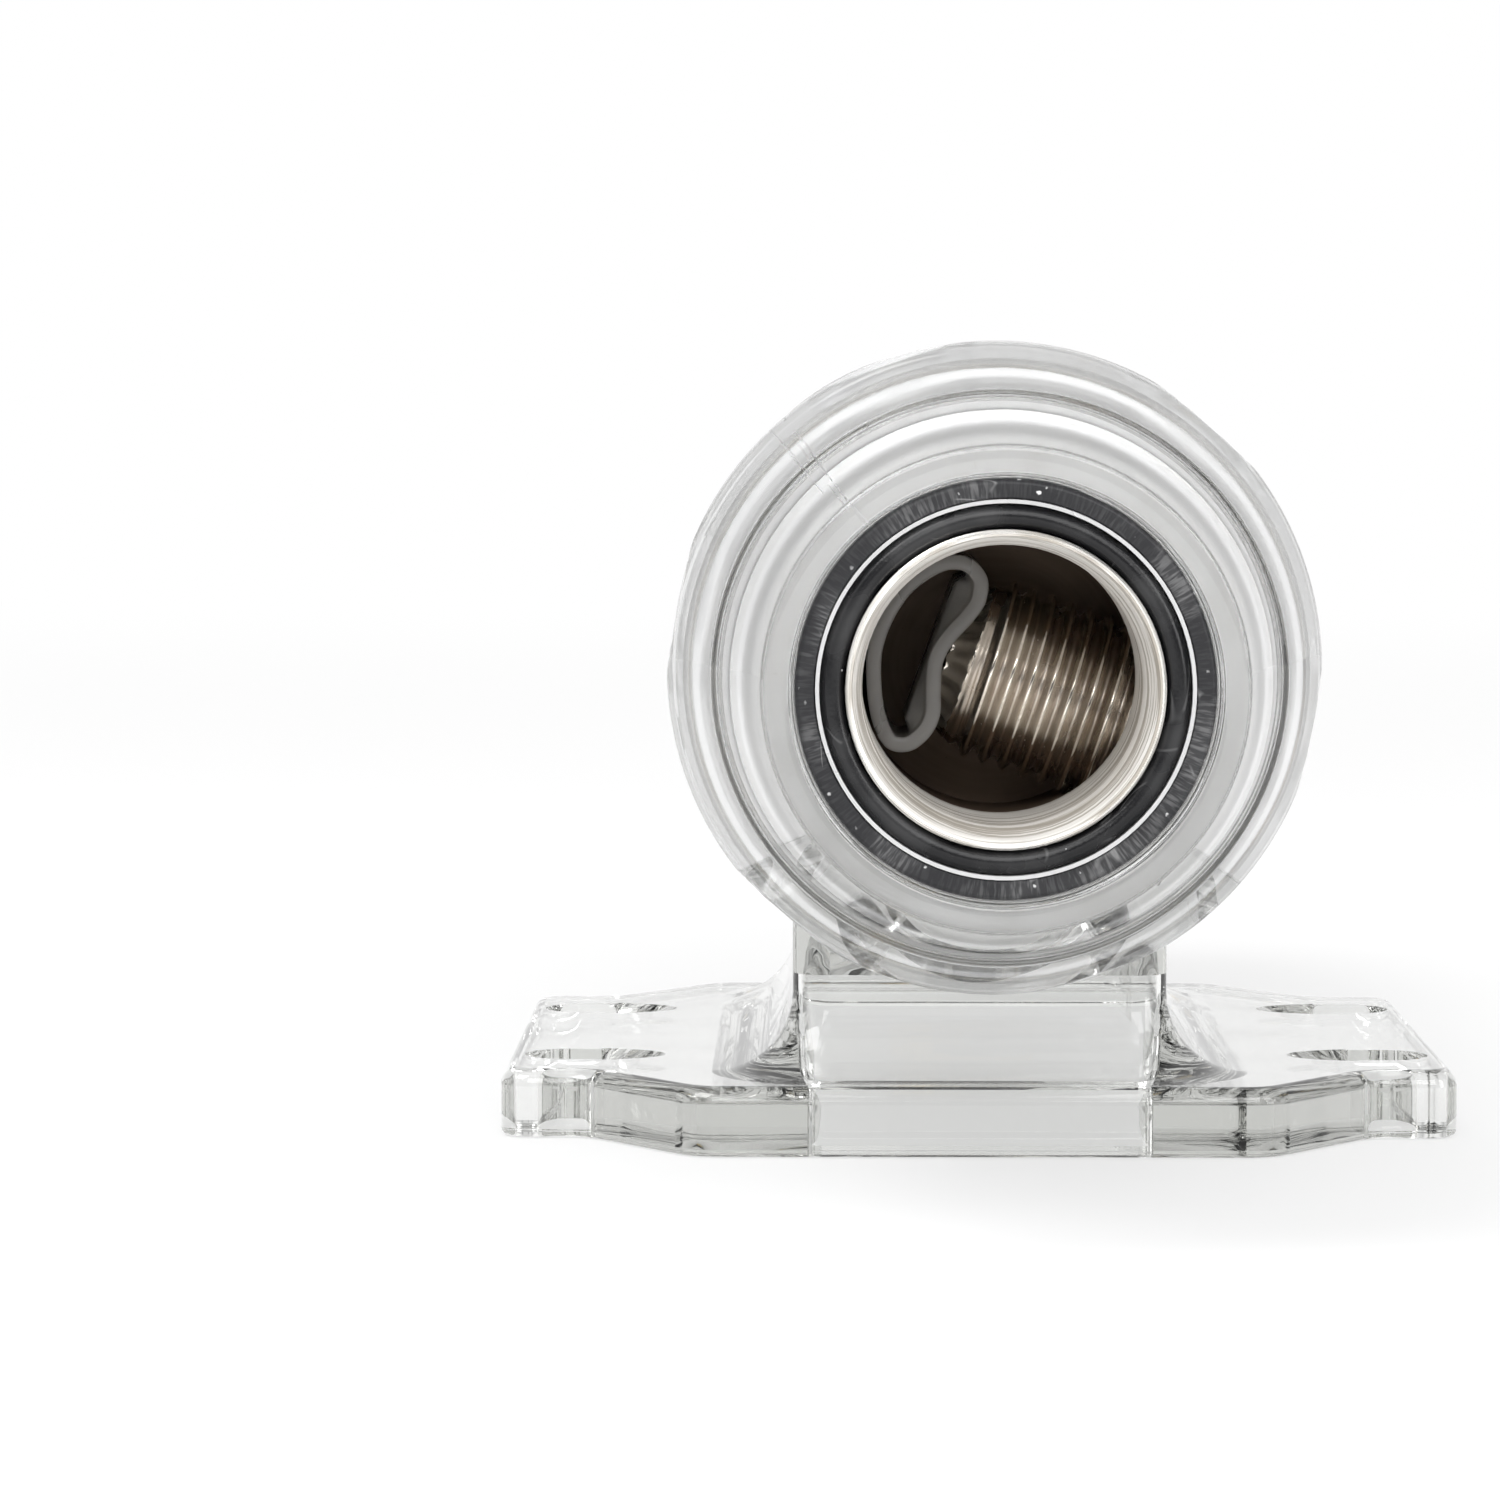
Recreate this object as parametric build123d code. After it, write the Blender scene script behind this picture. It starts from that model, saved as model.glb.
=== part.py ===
"""Clear in-line holder for an ANL fuse: base moulding, two screw caps, sealed terminals and the fuse inside.

All sizes are millimetres. The barrel lies along Y with its front end towards -Y, and +Z is up.
The origin is the bottom centre of the base. Front pieces are built first and turned half round
for the rear end. What lies in the barrel is built in the cartridge frame: barrel axis along Y
through the origin and the screws pointing along +Z. It is then rolled about the barrel axis.
"""

import os
from math import sqrt

from build123d import *

# How far cutters run past a face, and the tolerance for finding edges by their place
cut_over = 1.0
tiny = 1e-6

# Barrel and its two threaded ends
axis_height = 26.85
barrel_wall = 2.6
barrel_half = 30.5
spigot_wall = 1.2
spigot_length = 16.0
spigot_end_chamfer = 0.3
barrel_shoulder_chamfer = 0.4
cap_ring_section_r = 0.52
cap_ring_squeeze_gap = 0.05
cap_ring_from_shoulder = 3.4

# Coarse thread between barrel and caps, drawn as rings that don't reach each other
cap_thread_pitch = 3.0
cap_thread_height = 0.22
cap_thread_foot = 1.5
cap_thread_crest = 0.7
spigot_thread_from_end = 1.2
spigot_thread_turns = 4
cap_thread_turns = 3

# Base plate
plate_half_width = 26.0
plate_thickness = 3.7
ear_half_depth = 18.9
ear_width = 4.7
bulge_length = 7.8
bulge_side_run = 5.9
bulge_corner_r = 3.0
ear_inner_r = 2.0
ear_corner_r = 1.6
plate_top_edge_r = 0.9
plate_bottom_edge_r = 0.4

# Neck between plate and barrel, cored from beneath
neck_half_width = 10.1
neck_half_depth = 21.0
neck_corner_r = 2.0
neck_flare_r = 4.4
pocket_side_wall = 0.8
pocket_end_wall = 1.5
pocket_height = 9.0
pocket_corner_r = 0.8

# Mounting slots in the four ears of the plate
slot_r = 2.4
slot_overall = 6.4
slot_edge_wall = 1.0
slot_spacing_y = 23.0
scoop_r = 2.9
scoop_angle = 32.0
scoop_reach = 1.4
scoop_overlap = 2.2

# End caps
cap_gap_to_shoulder = 1.0
cap_length = 33.0
cap_wall = 2.05
cap_thread_gap = 0.5
cap_crest_from_face = 19.2
cap_crease_from_face = 10.3
cap_crease_drop = 2.61
cap_lip_width = 1.5
cap_lip_edge_r = 0.3
cap_mouth_edge_r = 0.6
cap_crest_r = 1.6
cap_tail_chamfer = 0.6
cap_end_play = 0.5
grip_count = 6
grip_first_angle = 49.0
grip_chord = 9.4
grip_depth = 1.2
grip_length = 12.2
grip_past_crest = 0.3

# Cable terminals
terminal_gap = 0.3
terminal_shoulder_from_face = 11.5
nose_r = 7.39
nose_rim_step_r = 7.1
nose_rim_step_depth = 0.4
nose_rim_bevel = 0.15
nose_edge_chamfer = 0.1
nose_taper_length = 2.6
cable_bore_r = 6.6
cable_bore_length = 12.8
deep_bore_r = 6.85
web_thickness = 1.2
tongue_thickness = 5.5
tongue_beside_blade = 1.4
terminal_edge_chamfer = 0.4

# Seals round the terminal nose
seal_face_setback = 0.2
nose_seal_width = 1.13
seal_liner_width = 0.18
gland_seal_width = 0.92
seal_gap = 0.035
seal_back_gap = 0.1

# Threads drawn as saw-tooth rings: where the crest's flat starts and ends, as shares of the pitch
thread_crest_start = 0.42
thread_crest_end = 0.58
thread_end_clear = 0.5

# Cable set screws
set_screw_r = 4.5
set_screw_pitch = 1.0
set_screw_thread_depth = 0.55
set_screw_length = 10.0
set_screw_tip_reach = 2.6
set_screw_point_length = 1.3
set_screw_cup_depth = 1.0
set_screw_cup_rim = 0.3
set_screw_core_neck = 0.4
set_screw_socket_flats = 4.0
set_screw_socket_depth = 3.5
set_screw_gap = 0.06
set_screw_behind_edge = 0.2

# Soft sleeve that the set screw pinches in the bore
sleeve_wall = 0.72
sleeve_bore_gap = 0.15
sleeve_ahead_of_screw = 0.1
sleeve_length = 9.0
sleeve_screw_gap = 0.3
sleeve_lobe_r = 1.4

# Fuse clamp screws and their washers
clamp_screw_r = 3.0
clamp_screw_pitch = 1.0
clamp_screw_thread_depth = 0.5
clamp_screw_gap = 0.06
clamp_screw_tip_chamfer = 0.4
clamp_screw_past_tongue = 1.0
clamp_head_r = 5.0
clamp_head_height = 4.0
clamp_socket_flats = 5.0
clamp_socket_depth = 2.2
clamp_head_edge_r = 0.5
washer_gap = 0.2
flat_washer_r = 7.0
flat_washer_thickness = 1.2
spring_washer_r = 5.2
spring_washer_thickness = 1.5
spring_washer_split = 0.8
spring_washer_split_angle = 30.0

# Fuse
fuse_length = 81.0
fuse_hole_from_tip = 10.0
blade_inset = 1.9
blade_thickness = 1.8
notch_r = 3.9
notch_leg_flat = 0.1
blade_end_gap = 0.5
tongue_housing_gap = 1.0
blade_corner_r = 1.2
housing_length = 41.0
housing_width = 22.0
housing_thickness = 11.0
housing_edge_r = 0.9
housing_wall = 1.6
housing_gap = 0.05
housing_in_barrel_gap = 0.1
chamber_length = 24.0
chamber_width = 13.0
window_length = 11.0
window_width = 6.4
pane_thickness = 0.9
pane_gap = 0.05
pane_setback = 0.5
link_width = 1.2
link_swing = 2.5
link_reach = 4.3
link_slope = 1.0
link_bend_r = 1.1
link_root_clear = 1.0
link_overlap = 0.5
rivet_from_end = 4.2
rivet_tube_r = 1.5
rivet_hole_r = 1.1
rivet_head_r = 1.95
rivet_head_thickness = 0.4
rivet_gap = 0.05
rivet_recess_r = 2.6
rivet_recess_depth = 0.5

# Roll of the cartridge: its screws point to the right and a little down
cartridge_roll = 110.0

# Places worked out from the sizes above; y is given for the front end
housing_corner_r = sqrt(housing_width**2 + housing_thickness**2) / 2
barrel_bore_r = housing_corner_r + housing_in_barrel_gap
barrel_outer_r = barrel_bore_r + barrel_wall
spigot_r = barrel_bore_r + spigot_wall
spigot_end = barrel_half + spigot_length
cap_tail = barrel_half + cap_gap_to_shoulder
cap_face = cap_tail + cap_length
cap_thread_r = spigot_r + cap_thread_gap
cap_outer_r = cap_thread_r + cap_wall
cap_crease_r = cap_outer_r - cap_crease_drop
terminal_r = barrel_bore_r - terminal_gap
blade_width = housing_width - 2 * blade_inset
tongue_half_width = blade_width / 2 + tongue_beside_blade
blade_tip = fuse_length / 2
fuse_hole_y = blade_tip - fuse_hole_from_tip
tongue_start = blade_tip + blade_end_gap
tongue_end = housing_length / 2 + tongue_housing_gap
shoulder_y = cap_face - terminal_shoulder_from_face
bore_edge_y = cap_face - cable_bore_length
bore_bottom_y = tongue_start + web_thickness
set_screw_y = bore_edge_y - set_screw_behind_edge - set_screw_r
blade_top = blade_thickness / 2
tongue_top = -blade_top
nose_seal_in_r = nose_r + seal_gap
nose_seal_out_r = nose_seal_in_r + nose_seal_width
liner_in_r = nose_seal_out_r + seal_gap
liner_out_r = liner_in_r + seal_liner_width
gland_in_r = liner_out_r + seal_gap
gland_out_r = gland_in_r + gland_seal_width
mouth_r = gland_out_r + seal_gap
gland_step_y = shoulder_y + 2 * seal_back_gap

os.makedirs("parts", exist_ok=True)


def turned(points):
    """Solid of revolution about Y from (radius, distance ahead of centre) points, front end."""
    outline = [(radius, -ahead) for radius, ahead in points]
    return revolve(make_face(Polyline(*outline, close=True)), Axis.Y)


def upright(points):
    """Solid of revolution about Z from (radius, height) points."""
    outline = [(radius, 0, height) for radius, height in points]
    return revolve(make_face(Polyline(*outline, close=True)), Axis.Z)


def ridges(root_r, crest_r, middles, way):
    """Rings of the coarse thread as (radius, distance ahead) points; way is 1 outwards and -1 inwards."""
    foot = way * cap_thread_foot / 2
    crest = way * cap_thread_crest / 2
    points = []
    for middle in middles:
        points += [(root_r, middle - foot), (crest_r, middle - crest)]
        points += [(crest_r, middle + crest), (root_r, middle + foot)]
    return points


def in_barrel(solid):
    """Moves a piece that is centred on Y up to the barrel axis."""
    return Pos(0, 0, axis_height) * solid


def in_cartridge(solid):
    """Rolls a piece of the cartridge about the barrel axis and lifts it there."""
    return in_barrel(Rot(0, cartridge_roll, 0) * solid)


def rear(solid):
    """The same piece at the rear end."""
    return Rot(0, 0, 180) * solid


def both_ends(solid):
    """A piece and its copy at the rear end, as one."""
    return solid + rear(solid)


def hex_socket(flats, depth, top):
    """Hexagon cutter that hangs from height top."""
    hexagon = RegularPolygon(flats / 2, 6, major_radius=False)
    return Pos(0, 0, top - depth) * extrude(hexagon, depth + cut_over)


def base_plate():
    """Plate with four ears and bulged front and rear edges."""
    ear_in = plate_half_width - ear_width
    bulge_in = ear_in - bulge_side_run
    bulge_out = ear_half_depth + bulge_length
    quarter = [
        (bulge_in, bulge_out),
        (ear_in, ear_half_depth),
        (plate_half_width, ear_half_depth),
    ]
    right_rear = quarter
    right_front = [(x, -y) for x, y in reversed(quarter)]
    left_front = [(-x, -y) for x, y in quarter]
    left_rear = [(-x, y) for x, y in reversed(quarter)]
    sketch = make_face(Polyline(*right_rear, *right_front, *left_front, *left_rear, close=True))
    for across, radius in (
        (bulge_in, bulge_corner_r),
        (ear_in, ear_inner_r),
        (plate_half_width, ear_corner_r),
    ):
        corners = [v for v in sketch.vertices() if abs(abs(v.X) - across) < tiny]
        sketch = fillet(corners, radius)
    plate = extrude(sketch, plate_thickness)
    plate = fillet(plate.edges().group_by(Axis.Z)[-1], plate_top_edge_r)
    return fillet(plate.edges().group_by(Axis.Z)[0], plate_bottom_edge_r)


def neck():
    """Upright block with rounded corners; its top ends inside the barrel wall."""
    top = axis_height - sqrt(barrel_outer_r**2 - neck_half_width**2) + barrel_wall / 2
    return extrude(RectangleRounded(2 * neck_half_width, 2 * neck_half_depth, neck_corner_r), top)


def mounting_slots():
    """Cutter for the four slots, each with a sloping run-out towards the neck."""
    slot_x = plate_half_width - slot_edge_wall - slot_overall / 2
    inner_end = slot_x - slot_overall / 2
    opening = SlotOverall(slot_overall, 2 * slot_r)
    through = Pos(slot_x, 0, -cut_over) * extrude(opening, plate_thickness + 2 * cut_over)
    tip = inner_end - scoop_reach
    end = inner_end + scoop_overlap
    run = Pos(tip, 0, plate_thickness) * Rot(0, 90 + scoop_angle, 0) * Pos(-scoop_r, 0, 0)
    reach = Pos((tip + end) / 2, 0, plate_thickness) * Box(end - tip, 4 * scoop_r, 2 * plate_thickness)
    cutter = through + (run * Cylinder(scoop_r, 8 * scoop_r) & reach)
    cuts = []
    for placed in (cutter, rear(cutter)):
        for along in (-slot_spacing_y / 2, slot_spacing_y / 2):
            cuts.append(Pos(0, along, 0) * placed)
    return cuts


def holder_body():
    """Clear moulding: plate, cored neck and barrel with a threaded end for each cap."""
    base = base_plate() + neck()
    joins = [
        edge
        for edge in base.edges()
        if abs(edge.center().Z - plate_thickness) < tiny
        and abs(edge.center().X) <= neck_half_width + tiny
        and abs(edge.center().Y) <= neck_half_depth + tiny
    ]
    base = fillet(joins, neck_flare_r)
    groove_y = barrel_half + cap_ring_from_shoulder
    groove_r = cap_thread_r - cap_ring_squeeze_gap - 2 * cap_ring_section_r
    groove_half = cap_ring_section_r + cap_ring_squeeze_gap
    first = spigot_end - spigot_thread_from_end
    middles = [first - turn * cap_thread_pitch for turn in range(spigot_thread_turns)]
    tube = turned(
        [
            (0, spigot_end),
            (spigot_r - spigot_end_chamfer, spigot_end),
            (spigot_r, spigot_end - spigot_end_chamfer),
            *ridges(spigot_r, spigot_r + cap_thread_height, middles, -1),
            (spigot_r, groove_y + groove_half),
            (groove_r, groove_y + groove_half),
            (groove_r, groove_y - groove_half),
            (spigot_r, groove_y - groove_half),
            (spigot_r, barrel_half),
            (barrel_outer_r - barrel_shoulder_chamfer, barrel_half),
            (barrel_outer_r, barrel_half - barrel_shoulder_chamfer),
            (barrel_outer_r, 0),
            (0, 0),
        ]
    )
    body = base + in_barrel(both_ends(tube))
    body -= in_barrel(Rot(90, 0, 0) * Cylinder(barrel_bore_r, 2 * (spigot_end + cut_over)))
    pocket = extrude(
        RectangleRounded(
            2 * (neck_half_width - pocket_side_wall),
            2 * (neck_half_depth - pocket_end_wall),
            pocket_corner_r,
        ),
        pocket_height,
    )
    body -= pocket
    for cut in mounting_slots():
        body -= cut
    return body


def grip_cutter():
    """Drum-shaped cutter for one grip hollow, on the +X side of the cap."""
    drop = cap_outer_r - sqrt(cap_outer_r**2 - (grip_chord / 2) ** 2)
    sag = grip_depth - drop
    across_r = ((grip_chord / 2) ** 2 + sag**2) / (2 * sag)
    along_r = ((grip_length / 2) ** 2 + grip_depth**2) / (2 * grip_depth)
    half = grip_length / 2 + cut_over
    end_r = across_r - along_r + sqrt(along_r**2 - half**2)
    edge = ThreePointArc((end_r, -half), (across_r, 0), (end_r, half))
    sides = Polyline((end_r, half), (0, half), (0, -half), (end_r, -half))
    drum = revolve(make_face(edge + sides), Axis.Y)
    middle = cap_face - cap_crest_from_face - grip_length / 2 + grip_past_crest
    return Pos(cap_outer_r - grip_depth + across_r, -middle, 0) * drum


def end_cap():
    """Clear screw cap for the front end, with grip hollows round its widest part."""
    crest_y = cap_face - cap_crest_from_face
    inner_step_y = spigot_end + cap_end_play
    last = spigot_end - spigot_thread_from_end - cap_thread_pitch / 2
    middles = [last - turn * cap_thread_pitch for turn in reversed(range(cap_thread_turns))]
    shell = turned(
        [
            (mouth_r, cap_face),
            (mouth_r + cap_lip_width, cap_face),
            (cap_crease_r, cap_face - cap_crease_from_face),
            (cap_outer_r, crest_y),
            (cap_outer_r, cap_tail + cap_tail_chamfer),
            (cap_outer_r - cap_tail_chamfer, cap_tail),
            (cap_thread_r, cap_tail),
            *ridges(cap_thread_r, cap_thread_r - cap_thread_height, middles, 1),
            (cap_thread_r, inner_step_y),
            (barrel_bore_r, inner_step_y),
            (barrel_bore_r, gland_step_y),
            (mouth_r, gland_step_y),
        ]
    )
    crest = [
        edge
        for edge in shell.edges().filter_by(GeomType.CIRCLE)
        if abs(edge.radius - cap_outer_r) < tiny and abs(edge.center().Y + crest_y) < tiny
    ]
    shell = fillet(crest, cap_crest_r)
    for radius, edge_r in ((mouth_r, cap_mouth_edge_r), (mouth_r + cap_lip_width, cap_lip_edge_r)):
        lip = [
            edge
            for edge in shell.edges().filter_by(GeomType.CIRCLE)
            if abs(edge.center().Y + cap_face) < tiny and abs(edge.radius - radius) < tiny
        ]
        shell = fillet(lip, edge_r)
    cutter = grip_cutter()
    for index in range(grip_count):
        shell -= Rot(0, -(grip_first_angle + index * 360 / grip_count), 0) * cutter
    return shell


def cap_ring():
    """O-ring on the barrel end, under the cap."""
    middle_r = cap_thread_r - cap_ring_squeeze_gap - cap_ring_section_r
    ring = Rot(90, 0, 0) * Torus(middle_r, cap_ring_section_r)
    return Pos(0, -(barrel_half + cap_ring_from_shoulder), 0) * ring


def gland_seal():
    """Outer rubber ring in the mouth of the cap."""
    front = cap_face - seal_face_setback
    back = shoulder_y + seal_back_gap
    return turned([(gland_in_r, front), (gland_out_r, front), (gland_out_r, back), (gland_in_r, back)])


def seal_liner():
    """Thin clear sleeve between the two rubber rings."""
    front = cap_face - seal_face_setback / 2
    back = shoulder_y + seal_back_gap
    return turned([(liner_in_r, front), (liner_out_r, front), (liner_out_r, back), (liner_in_r, back)])


def nose_seal():
    """Inner rubber ring round the terminal nose, with a full-round front lip."""
    lip_r = nose_seal_width / 2
    middle_r = nose_seal_in_r + lip_r
    front = cap_face - seal_face_setback / 2
    back = shoulder_y + seal_back_gap
    lip = ThreePointArc(
        (nose_seal_in_r, -(front - lip_r)), (middle_r, -front), (nose_seal_out_r, -(front - lip_r))
    )
    sides = Polyline(
        (nose_seal_out_r, -(front - lip_r)),
        (nose_seal_out_r, -back),
        (nose_seal_in_r, -back),
        (nose_seal_in_r, -(front - lip_r)),
    )
    return revolve(make_face(lip + sides), Axis.Y)


def terminal():
    """Plated brass terminal: nose, cable bore, body with the set screw hole, and tongue."""
    rim_y = cap_face - nose_rim_step_depth
    body = turned(
        [
            (0, bore_bottom_y),
            (deep_bore_r, bore_bottom_y),
            (deep_bore_r, bore_edge_y),
            (cable_bore_r, bore_edge_y),
            (cable_bore_r, rim_y - nose_taper_length),
            (nose_rim_step_r - nose_rim_bevel, rim_y),
            (nose_rim_step_r, cap_face),
            (nose_r - nose_edge_chamfer, cap_face),
            (nose_r, cap_face - nose_edge_chamfer),
            (nose_r, shoulder_y),
            (terminal_r - terminal_edge_chamfer, shoulder_y),
            (terminal_r, shoulder_y - terminal_edge_chamfer),
            (terminal_r, tongue_start),
            (0, tongue_start),
        ]
    )
    bar_length = tongue_start - tongue_end
    bar_y = -(tongue_start + tongue_end) / 2
    overlap = web_thickness / 2
    bar = Pos(0, bar_y - overlap / 2, 0) * Rot(90, 0, 0) * Cylinder(terminal_r, bar_length + overlap)
    slab = Pos(0, bar_y - overlap / 2, tongue_top - tongue_thickness / 2)
    bar = bar & (slab * Box(2 * tongue_half_width, bar_length + overlap, tongue_thickness))
    body += bar
    body -= Pos(0, -set_screw_y, terminal_r) * Cylinder(set_screw_r + set_screw_gap, 2 * terminal_r)
    body -= Pos(0, -fuse_hole_y, tongue_top) * Cylinder(
        clamp_screw_r + clamp_screw_gap, 3 * tongue_thickness
    )
    return body


def thread_points(outer_r, depth, pitch, bottom, top):
    """Saw-tooth rings of a thread, from the bottom up, as (radius, height) points."""
    count = int((top - bottom) / pitch)
    points = []
    for index in range(count):
        start = bottom + index * pitch
        points.append((outer_r - depth, start))
        points.append((outer_r, start + thread_crest_start * pitch))
        points.append((outer_r, start + thread_crest_end * pitch))
    points.append((outer_r - depth, bottom + count * pitch))
    return points


def set_screw():
    """Set screw with a cup point below and a hexagon socket above."""
    tip = -set_screw_tip_reach
    top = tip + set_screw_length
    core_r = set_screw_r - set_screw_thread_depth
    point_r = set_screw_r - set_screw_point_length
    thread_start = tip + set_screw_point_length
    thread_top = top - thread_end_clear
    points = [(0, tip + set_screw_cup_depth), (point_r - set_screw_cup_rim, tip), (point_r, tip)]
    points += [(core_r, thread_start - set_screw_core_neck)]
    points += thread_points(set_screw_r, set_screw_thread_depth, set_screw_pitch, thread_start, thread_top)
    points += [(core_r, top), (0, top)]
    screw = upright(points)
    screw -= hex_socket(set_screw_socket_flats, set_screw_socket_depth, top)
    return Pos(0, -set_screw_y, 0) * screw


def sleeve():
    """Soft clear tube squashed flat against the bore wall, opposite the set screw."""
    outer_r = cable_bore_r - sleeve_bore_gap
    dent = -(set_screw_tip_reach + sleeve_screw_gap)
    front = set_screw_y + set_screw_r + sleeve_ahead_of_screw

    def below(radius, level, corner_r):
        """Part of a circle below a level, with its two corners rounded."""
        segment = Circle(radius) & (Pos(0, level - radius) * Rectangle(2 * radius, 2 * radius))
        return fillet(segment.vertices(), corner_r)

    section = below(outer_r, dent, sleeve_lobe_r)
    section -= below(outer_r - sleeve_wall, dent - sleeve_wall, sleeve_lobe_r - sleeve_wall)
    tube = Rot(90, 0, 0) * extrude(section, sleeve_length)
    return Pos(0, sleeve_length - front, 0) * tube


def clamp_screw():
    """Screw that clamps a fuse blade to its tongue."""
    seat = blade_top + flat_washer_thickness + spring_washer_thickness
    end = tongue_top - tongue_thickness - clamp_screw_past_tongue
    core_r = clamp_screw_r - clamp_screw_thread_depth
    thread_start = end + thread_end_clear
    thread_top = seat - thread_end_clear
    points = [(0, end), (core_r - clamp_screw_tip_chamfer, end), (core_r, end + clamp_screw_tip_chamfer)]
    points += thread_points(
        clamp_screw_r, clamp_screw_thread_depth, clamp_screw_pitch, thread_start, thread_top
    )
    points += [(core_r, seat), (clamp_head_r, seat)]
    points += [(clamp_head_r, seat + clamp_head_height), (0, seat + clamp_head_height)]
    screw = upright(points)
    screw = fillet(screw.edges().filter_by(GeomType.CIRCLE).sort_by(Axis.Z)[-1], clamp_head_edge_r)
    screw -= hex_socket(clamp_socket_flats, clamp_socket_depth, seat + clamp_head_height)
    return Pos(0, -fuse_hole_y, 0) * screw


def washer(outer_r, bottom, thickness):
    """Flat ring round the clamp screw."""
    inner_r = clamp_screw_r + washer_gap
    top = bottom + thickness
    ring = upright([(inner_r, bottom), (outer_r, bottom), (outer_r, top), (inner_r, top)])
    return Pos(0, -fuse_hole_y, 0) * ring


def spring_washer():
    """Split ring under the head of the clamp screw, flattened by it."""
    bottom = blade_top + flat_washer_thickness
    ring = washer(spring_washer_r, bottom, spring_washer_thickness)
    place = Pos(spring_washer_r, -fuse_hole_y, bottom + spring_washer_thickness / 2)
    tilt = Rot(spring_washer_split_angle, 0, 0)
    gap = Box(2 * spring_washer_r, spring_washer_split, 3 * spring_washer_thickness)
    return ring - place * tilt * gap


def fuse_link():
    """Stamped strip: two notched blades and the S-shaped link between them."""
    root = housing_length / 2 - rivet_from_end - rivet_head_r - link_root_clear
    blade_run = blade_tip - root
    side = blade_width / 2
    blade = Pos(0, -(root + blade_run / 2)) * Rectangle(blade_width, blade_run)
    notch = Pos(0, -fuse_hole_y) * Circle(notch_r)
    notch += Pos(-side, -fuse_hole_y) * Rectangle(2 * side, 2 * notch_r)
    blade -= notch
    leg_r = (blade_tip - fuse_hole_y - notch_r) / 2 - notch_leg_flat
    leg_ends = [v for v in blade.vertices() if abs(v.X + side) < tiny and v.Y < -fuse_hole_y]
    blade = fillet(leg_ends, leg_r)
    far_corner = [v for v in blade.vertices() if abs(v.X - side) < tiny and v.Y < -fuse_hole_y]
    blade = fillet(far_corner, blade_corner_r)
    blade -= Pos(0, -(housing_length / 2 - rivet_from_end)) * Circle(rivet_tube_r + rivet_gap)
    route = FilletPolyline(
        (0, -root - link_overlap),
        (0, -link_reach),
        (link_swing, -link_reach + link_slope),
        (-link_swing, link_reach - link_slope),
        (0, link_reach),
        (0, root + link_overlap),
        radius=link_bend_r,
    )
    flat = blade + Rot(0, 0, 180) * mirror(blade, Plane.YZ) + trace(route, link_width)
    return Pos(0, 0, -blade_thickness / 2) * extrude(flat, blade_thickness)


def fuse_housing():
    """Upper half of the moulded fuse housing."""
    half = housing_thickness / 2
    shell = Pos(0, 0, half / 2) * Box(housing_width, housing_length, half)
    rounded = [edge for edge in shell.edges() if edge.center().Z > tiny]
    shell = fillet(rounded, housing_edge_r)
    chamber_height = half - housing_wall
    shell -= Pos(0, 0, chamber_height / 2) * Box(chamber_width, chamber_length, chamber_height)
    channel = blade_thickness / 2 + housing_gap
    shell -= Pos(0, 0, channel / 2) * Box(blade_width + 2 * housing_gap, housing_length, channel)
    shell -= extrude(Rot(0, 0, 90) * SlotOverall(window_length, window_width), half)
    rivet_y = housing_length / 2 - rivet_from_end
    for y in (-rivet_y, rivet_y):
        shell -= Pos(0, y, half / 2) * Cylinder(rivet_tube_r + rivet_gap, half)
        shell -= Pos(0, y, half - rivet_recess_depth / 2) * Cylinder(rivet_recess_r, rivet_recess_depth)
    return shell


def fuse_pane():
    """Clear pane in the upper window of the fuse."""
    flat = Rot(0, 0, 90) * SlotOverall(window_length - 2 * pane_gap, window_width - 2 * pane_gap)
    return Pos(0, 0, housing_thickness / 2 - pane_setback - pane_thickness) * extrude(flat, pane_thickness)


def rivet():
    """Hollow brass rivet through both housing halves and the blade root."""
    seat = housing_thickness / 2 - rivet_recess_depth
    top = seat + rivet_head_thickness
    eyelet = upright(
        [
            (rivet_hole_r, -top),
            (rivet_head_r, -top),
            (rivet_head_r, -seat),
            (rivet_tube_r, -seat),
            (rivet_tube_r, seat),
            (rivet_head_r, seat),
            (rivet_head_r, top),
            (rivet_hole_r, top),
        ]
    )
    return Pos(0, -(housing_length / 2 - rivet_from_end), 0) * eyelet


def save(name, solid):
    """Writes one node."""
    export_step(solid, f"parts/{name}.step")


def save_both_ends(name, solid, place):
    """Writes a front piece and the same piece at the rear end, each placed by its frame."""
    save(f"{name}_front", place(solid))
    save(f"{name}_rear", place(rear(solid)))


save("holder_body", holder_body())
save_both_ends("end_cap", end_cap(), in_barrel)
save_both_ends("cap_ring", cap_ring(), in_barrel)
save_both_ends("gland_seal", gland_seal(), in_barrel)
save_both_ends("seal_liner", seal_liner(), in_barrel)
save_both_ends("nose_seal", nose_seal(), in_barrel)
save_both_ends("terminal", terminal(), in_cartridge)
save_both_ends("cable_set_screw", set_screw(), in_cartridge)
save_both_ends("bore_sleeve", sleeve(), in_cartridge)
save_both_ends("clamp_screw", clamp_screw(), in_cartridge)
save_both_ends("flat_washer", washer(flat_washer_r, blade_top, flat_washer_thickness), in_cartridge)
save_both_ends("spring_washer", spring_washer(), in_cartridge)
save_both_ends("fuse_rivet", rivet(), in_cartridge)
save("fuse_link", in_cartridge(fuse_link()))
save("fuse_housing_upper", in_cartridge(fuse_housing()))
save("fuse_housing_lower", in_cartridge(Rot(0, 180, 0) * fuse_housing()))
save("fuse_pane_upper", in_cartridge(fuse_pane()))
save("fuse_pane_lower", in_cartridge(Rot(0, 180, 0) * fuse_pane()))
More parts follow.
